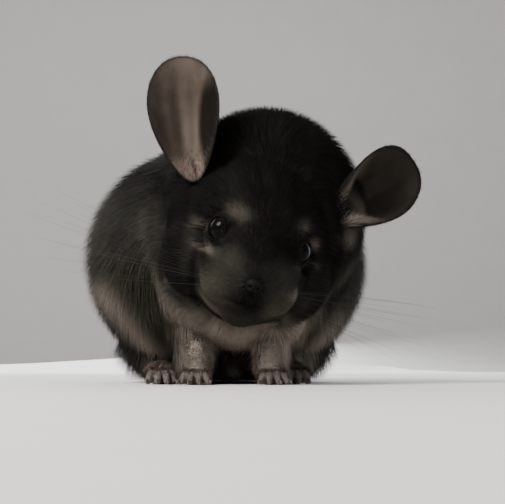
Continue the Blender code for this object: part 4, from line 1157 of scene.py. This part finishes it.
def make_foot(kind, side, sign, forms, toes, place, degrees, materials, count, seed):
    """A foot drawn for the left side and set at its place: the flesh fused finely, its claws, and a short
    pale coat that runs to the toes."""
    name = f"{kind}_flesh_{side}"
    angles, lengths, radius, (reach, back, height), spread = toes
    claws = []
    for angle, length in zip(angles, lengths):
        start = np.array((math.sin(math.radians(angle)) * reach, back, height))
        toe, claw, across = toe_line(start, angle * spread, length, radius)
        forms.append(limb(toe, count=9, side=across))
        claws.append(limb(claw, count=9, around=10, side=across))
    cos, sin = math.cos(math.radians(degrees * sign)), math.sin(math.radians(degrees * sign))
    matrix = np.array(((cos, -sin, 0), (sin, cos, 0), (0, 0, 1)))

    def set_down(form):
        points = form[0] * (sign, 1, 1) @ matrix.T + (place[0] * sign, place[1], 0)
        points[:, 2] = np.maximum(points[:, 2], 0.06)
        return points, form[1]

    foot = flowed(mesh_piece(name, set_down(joined(forms))), FOOT_GRAIN, 4)
    foot.data.materials.append(materials["foot"])
    horn = mesh_piece("claws_" + name, set_down(joined(claws)), materials["claw"])
    store(horn.data, along=np.tile(np.linspace(0, 1, len(claws[0][0])), len(claws)))
    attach(horn, "root")
    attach(foot, "root")
    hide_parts(f"{kind}_{side}")
    points, normals = points_of(foot.data)
    weight = ease(0.6, 1.8, points[:, 2]) * ease(-0.9, -0.2, normals[:, 2])
    spot, out = scattered(foot.data, weight, count, seed, (points, normals))
    out = unit(out)
    draw = np.random.default_rng(seed)
    way = unit(along_skin(np.array((0, -1, -0.25)) + 0.22 * draw.normal(size=spot.shape), out))
    on_toes = ease(place[1] + back - 2, place[1] + back - 9, spot[:, 1])
    top, low_shade = ease(4, 6.5, spot[:, 2]), ease(7, 2, spot[:, 2])
    long = (3.2 - 2.2 * on_toes + 2 * top) * draw.uniform(0.75, 1.1, len(spot))
    rise = long * (0.24 + 0.16 * top)
    drift = draw.normal(size=spot.shape) * 0.1
    arrays = list(tuft_arrays(spot, out, way, rise, long * 0.93, drift, 0.06 + 0.022 * long))
    arrays[2] = 0.45 + 0.55 * arrays[2]
    cream = 0.8 + 0.15 * draw.normal(size=len(spot)) - 0.12 * on_toes
    # The down is lighter on the foot's top and darker low down near the floor: painted light and painted
    # shade
    shade = 0.98 - 0.12 * low_shade + 0.35 * top + 0.16 * draw.normal(size=len(spot))
    marks = {"veil": 0 * long, "cream": np.clip(cream, 0, 1), "tan": 0.3 + 0 * long,
             "shade": np.clip(shade, 0.4, 1.5)}
    home = unwrapped(spot, (place[0] * sign, place[1], 3), (0, 0, -1))
    in_pieces("down_" + name, materials["fur"], home, arrays, marks)


def make_feet(materials):
    for side, sign in SIDES:
        length, radius = FORE_TOE
        toes = (FORE_TOE_ANGLES, [length] * 4, radius, FORE_KNUCKLES, FORE_SPREAD)
        palm = [ball(*FOREPAW_PALM, around=28), limb(WRIST)]
        make_foot("forepaw", side, sign, palm, toes, FOREPAW_PLACE, FOREPAW_TURN, materials, FOREPAW_TUFTS,
                  60 + sign)
        x, y, out = HIND_FEET[side]
        length, radius = HIND_TOE
        toes = (HIND_TOE_ANGLES, [length * 0.72] + [length] * 3, radius, HIND_KNUCKLES, HIND_SPREAD)
        sole = [limb(HIND_SOLE, count=30, flat=0.86)]
        make_foot("hindfoot", side, sign, sole, toes, (x, y), out, materials, HINDFOOT_TUFTS, 70 + sign)


# Whiskers

def make_whiskers(tree, material):
    """Long tapered hairs in rows on each pad: each is root + way * t, with a bend back and down that grows
    as t squared."""
    draw = np.random.default_rng(80)
    t = np.linspace(0, 1, 22)[:, None]
    for side, sign in SIDES:
        forms, along, shade = [], [], []
        for slope, share in itertools.product(np.linspace(*RAY_SLOPES, 4), np.linspace(0, 1, 5)):
            level = np.array(RAY_FRONT) * (1 - share) + np.array(RAY_BACK) * share
            ahead, back = level + draw.uniform(-0.05, 0.05, 2)
            ray = unit(np.array((ahead * sign, back, slope + draw.uniform(-0.04, 0.04))))
            root = met(tree, mirrored(PAD_MIDDLE, sign), ray) - ray * 0.6
            length = (WHISKER_LENGTHS[0] * (1 - share) + WHISKER_LENGTHS[1] * share) * draw.uniform(0.86, 1)
            way = unit(ray * WHISKER_SPREAD + mirrored(WHISKER_LEAN, sign))
            bend = np.array(WHISKER_BEND) * draw.uniform(0.7, 1.3, 3)
            line = np.column_stack([from_head(root + way * length * t + bend * length * t**2),
                                    WHISKER_RADIUS * (1 - 0.75 * t)])
            forms.append(limb(line, count=22, around=5, side=(0.1, 0.2, 1)))
            along.append(np.linspace(0, 1, len(forms[-1][0])))
            shade.append(np.full(len(forms[-1][0]), float(draw.uniform() < 0.2)))
        piece = mesh_piece("whiskers_" + side, joined(forms), material)
        store(piece.data, along=np.concatenate(along), shade=np.concatenate(shade))
        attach(piece, "root")
        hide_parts("whisker_pad_" + side)


# Stage

def make_stage():
    """A pale floor that curves up into a plain backdrop: a profile of y and z swept across x."""
    turn = np.linspace(0, math.pi / 2, 16)[1:]
    level, height = BEND_START + BEND_RADIUS * np.sin(turn), BEND_RADIUS - BEND_RADIUS * np.cos(turn)
    bend = np.column_stack([level, height])
    profile = np.vstack([[(FLOOR_NEAR, 0), (BEND_START, 0)], bend, [(BEND_START + BEND_RADIUS, WALL_TOP)]])
    n = len(profile)
    points = np.column_stack([np.repeat((-FLOOR_HALF, FLOOR_HALF), n), np.tile(profile, (2, 1))])
    k = np.arange(n - 1)
    faces = np.stack([k, k + n, k + n + 1, k + 1], axis=-1)
    mesh_piece("floor", (points, faces.tolist()), floor_material(), outward=False)


def aimed(place, ahead):
    """The place and turn of a lamp or a camera that looks ahead."""
    return Matrix.Translation(place) @ Vector(ahead).to_track_quat("-Z", "Y").to_matrix().to_4x4()


def make_camera():
    lens = bpy.data.cameras.new("camera")
    lens.sensor_width, lens.lens = SENSOR, SENSOR * FOCAL_LENGTH / PICTURE_WIDTH
    lens.clip_start, lens.clip_end = 0.01, 20
    rise = math.radians(CAMERA_RISE)
    camera = placed("camera", lens)
    camera.matrix_world = aimed((np.array(CAMERA_PLACE) + SHIFT) * MM,
                                unit(np.array(CAMERA_WAY)) * math.cos(rise) + (0, 0, math.sin(rise)))
    bpy.context.scene.camera = camera


def make_light():
    """Four soft discs of light in a pale room."""
    world = bpy.data.worlds.new("room")
    world.use_nodes = True
    colour, strength = world.node_tree.nodes["Background"].inputs[:2]
    colour.default_value, strength.default_value = (1, 1, 1, 1), ROOM_LIGHT
    bpy.context.scene.world = world
    for name, place, aim, size, power, colour in LAMPS:
        lamp = bpy.data.lights.new(name, "AREA")
        lamp.shape, lamp.size, lamp.energy, lamp.color = "DISK", size * MM, power, colour
        place, aim = ((np.array(spot) + SHIFT) * MM for spot in (place, aim))
        placed(name, lamp).matrix_world = aimed(place, aim - place)


def main():
    fur, rim = fur_material(), rim_material()
    skin = make_skin(skin_material())
    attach(skin, "root")
    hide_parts("head", "neck", "torso", "thigh_left", "thigh_right", "foreleg_left", "foreleg_right",
                "tail_root", "tail_brush")
    make_coat(skin, fur)
    make_eyes(eye_material(), rim)
    make_nose(nose_material())
    tree = head_tree(skin)
    make_lips(tree, rim)
    leather = ear_material()
    make_ear_down([make_ear(side, sign, leather) for side, sign in SIDES], fur)
    make_feet({"fur": fur, "foot": foot_material(), "claw": claw_material()})
    make_whiskers(tree, whisker_material())
    make_stage()
    make_camera()
    make_light()


main()
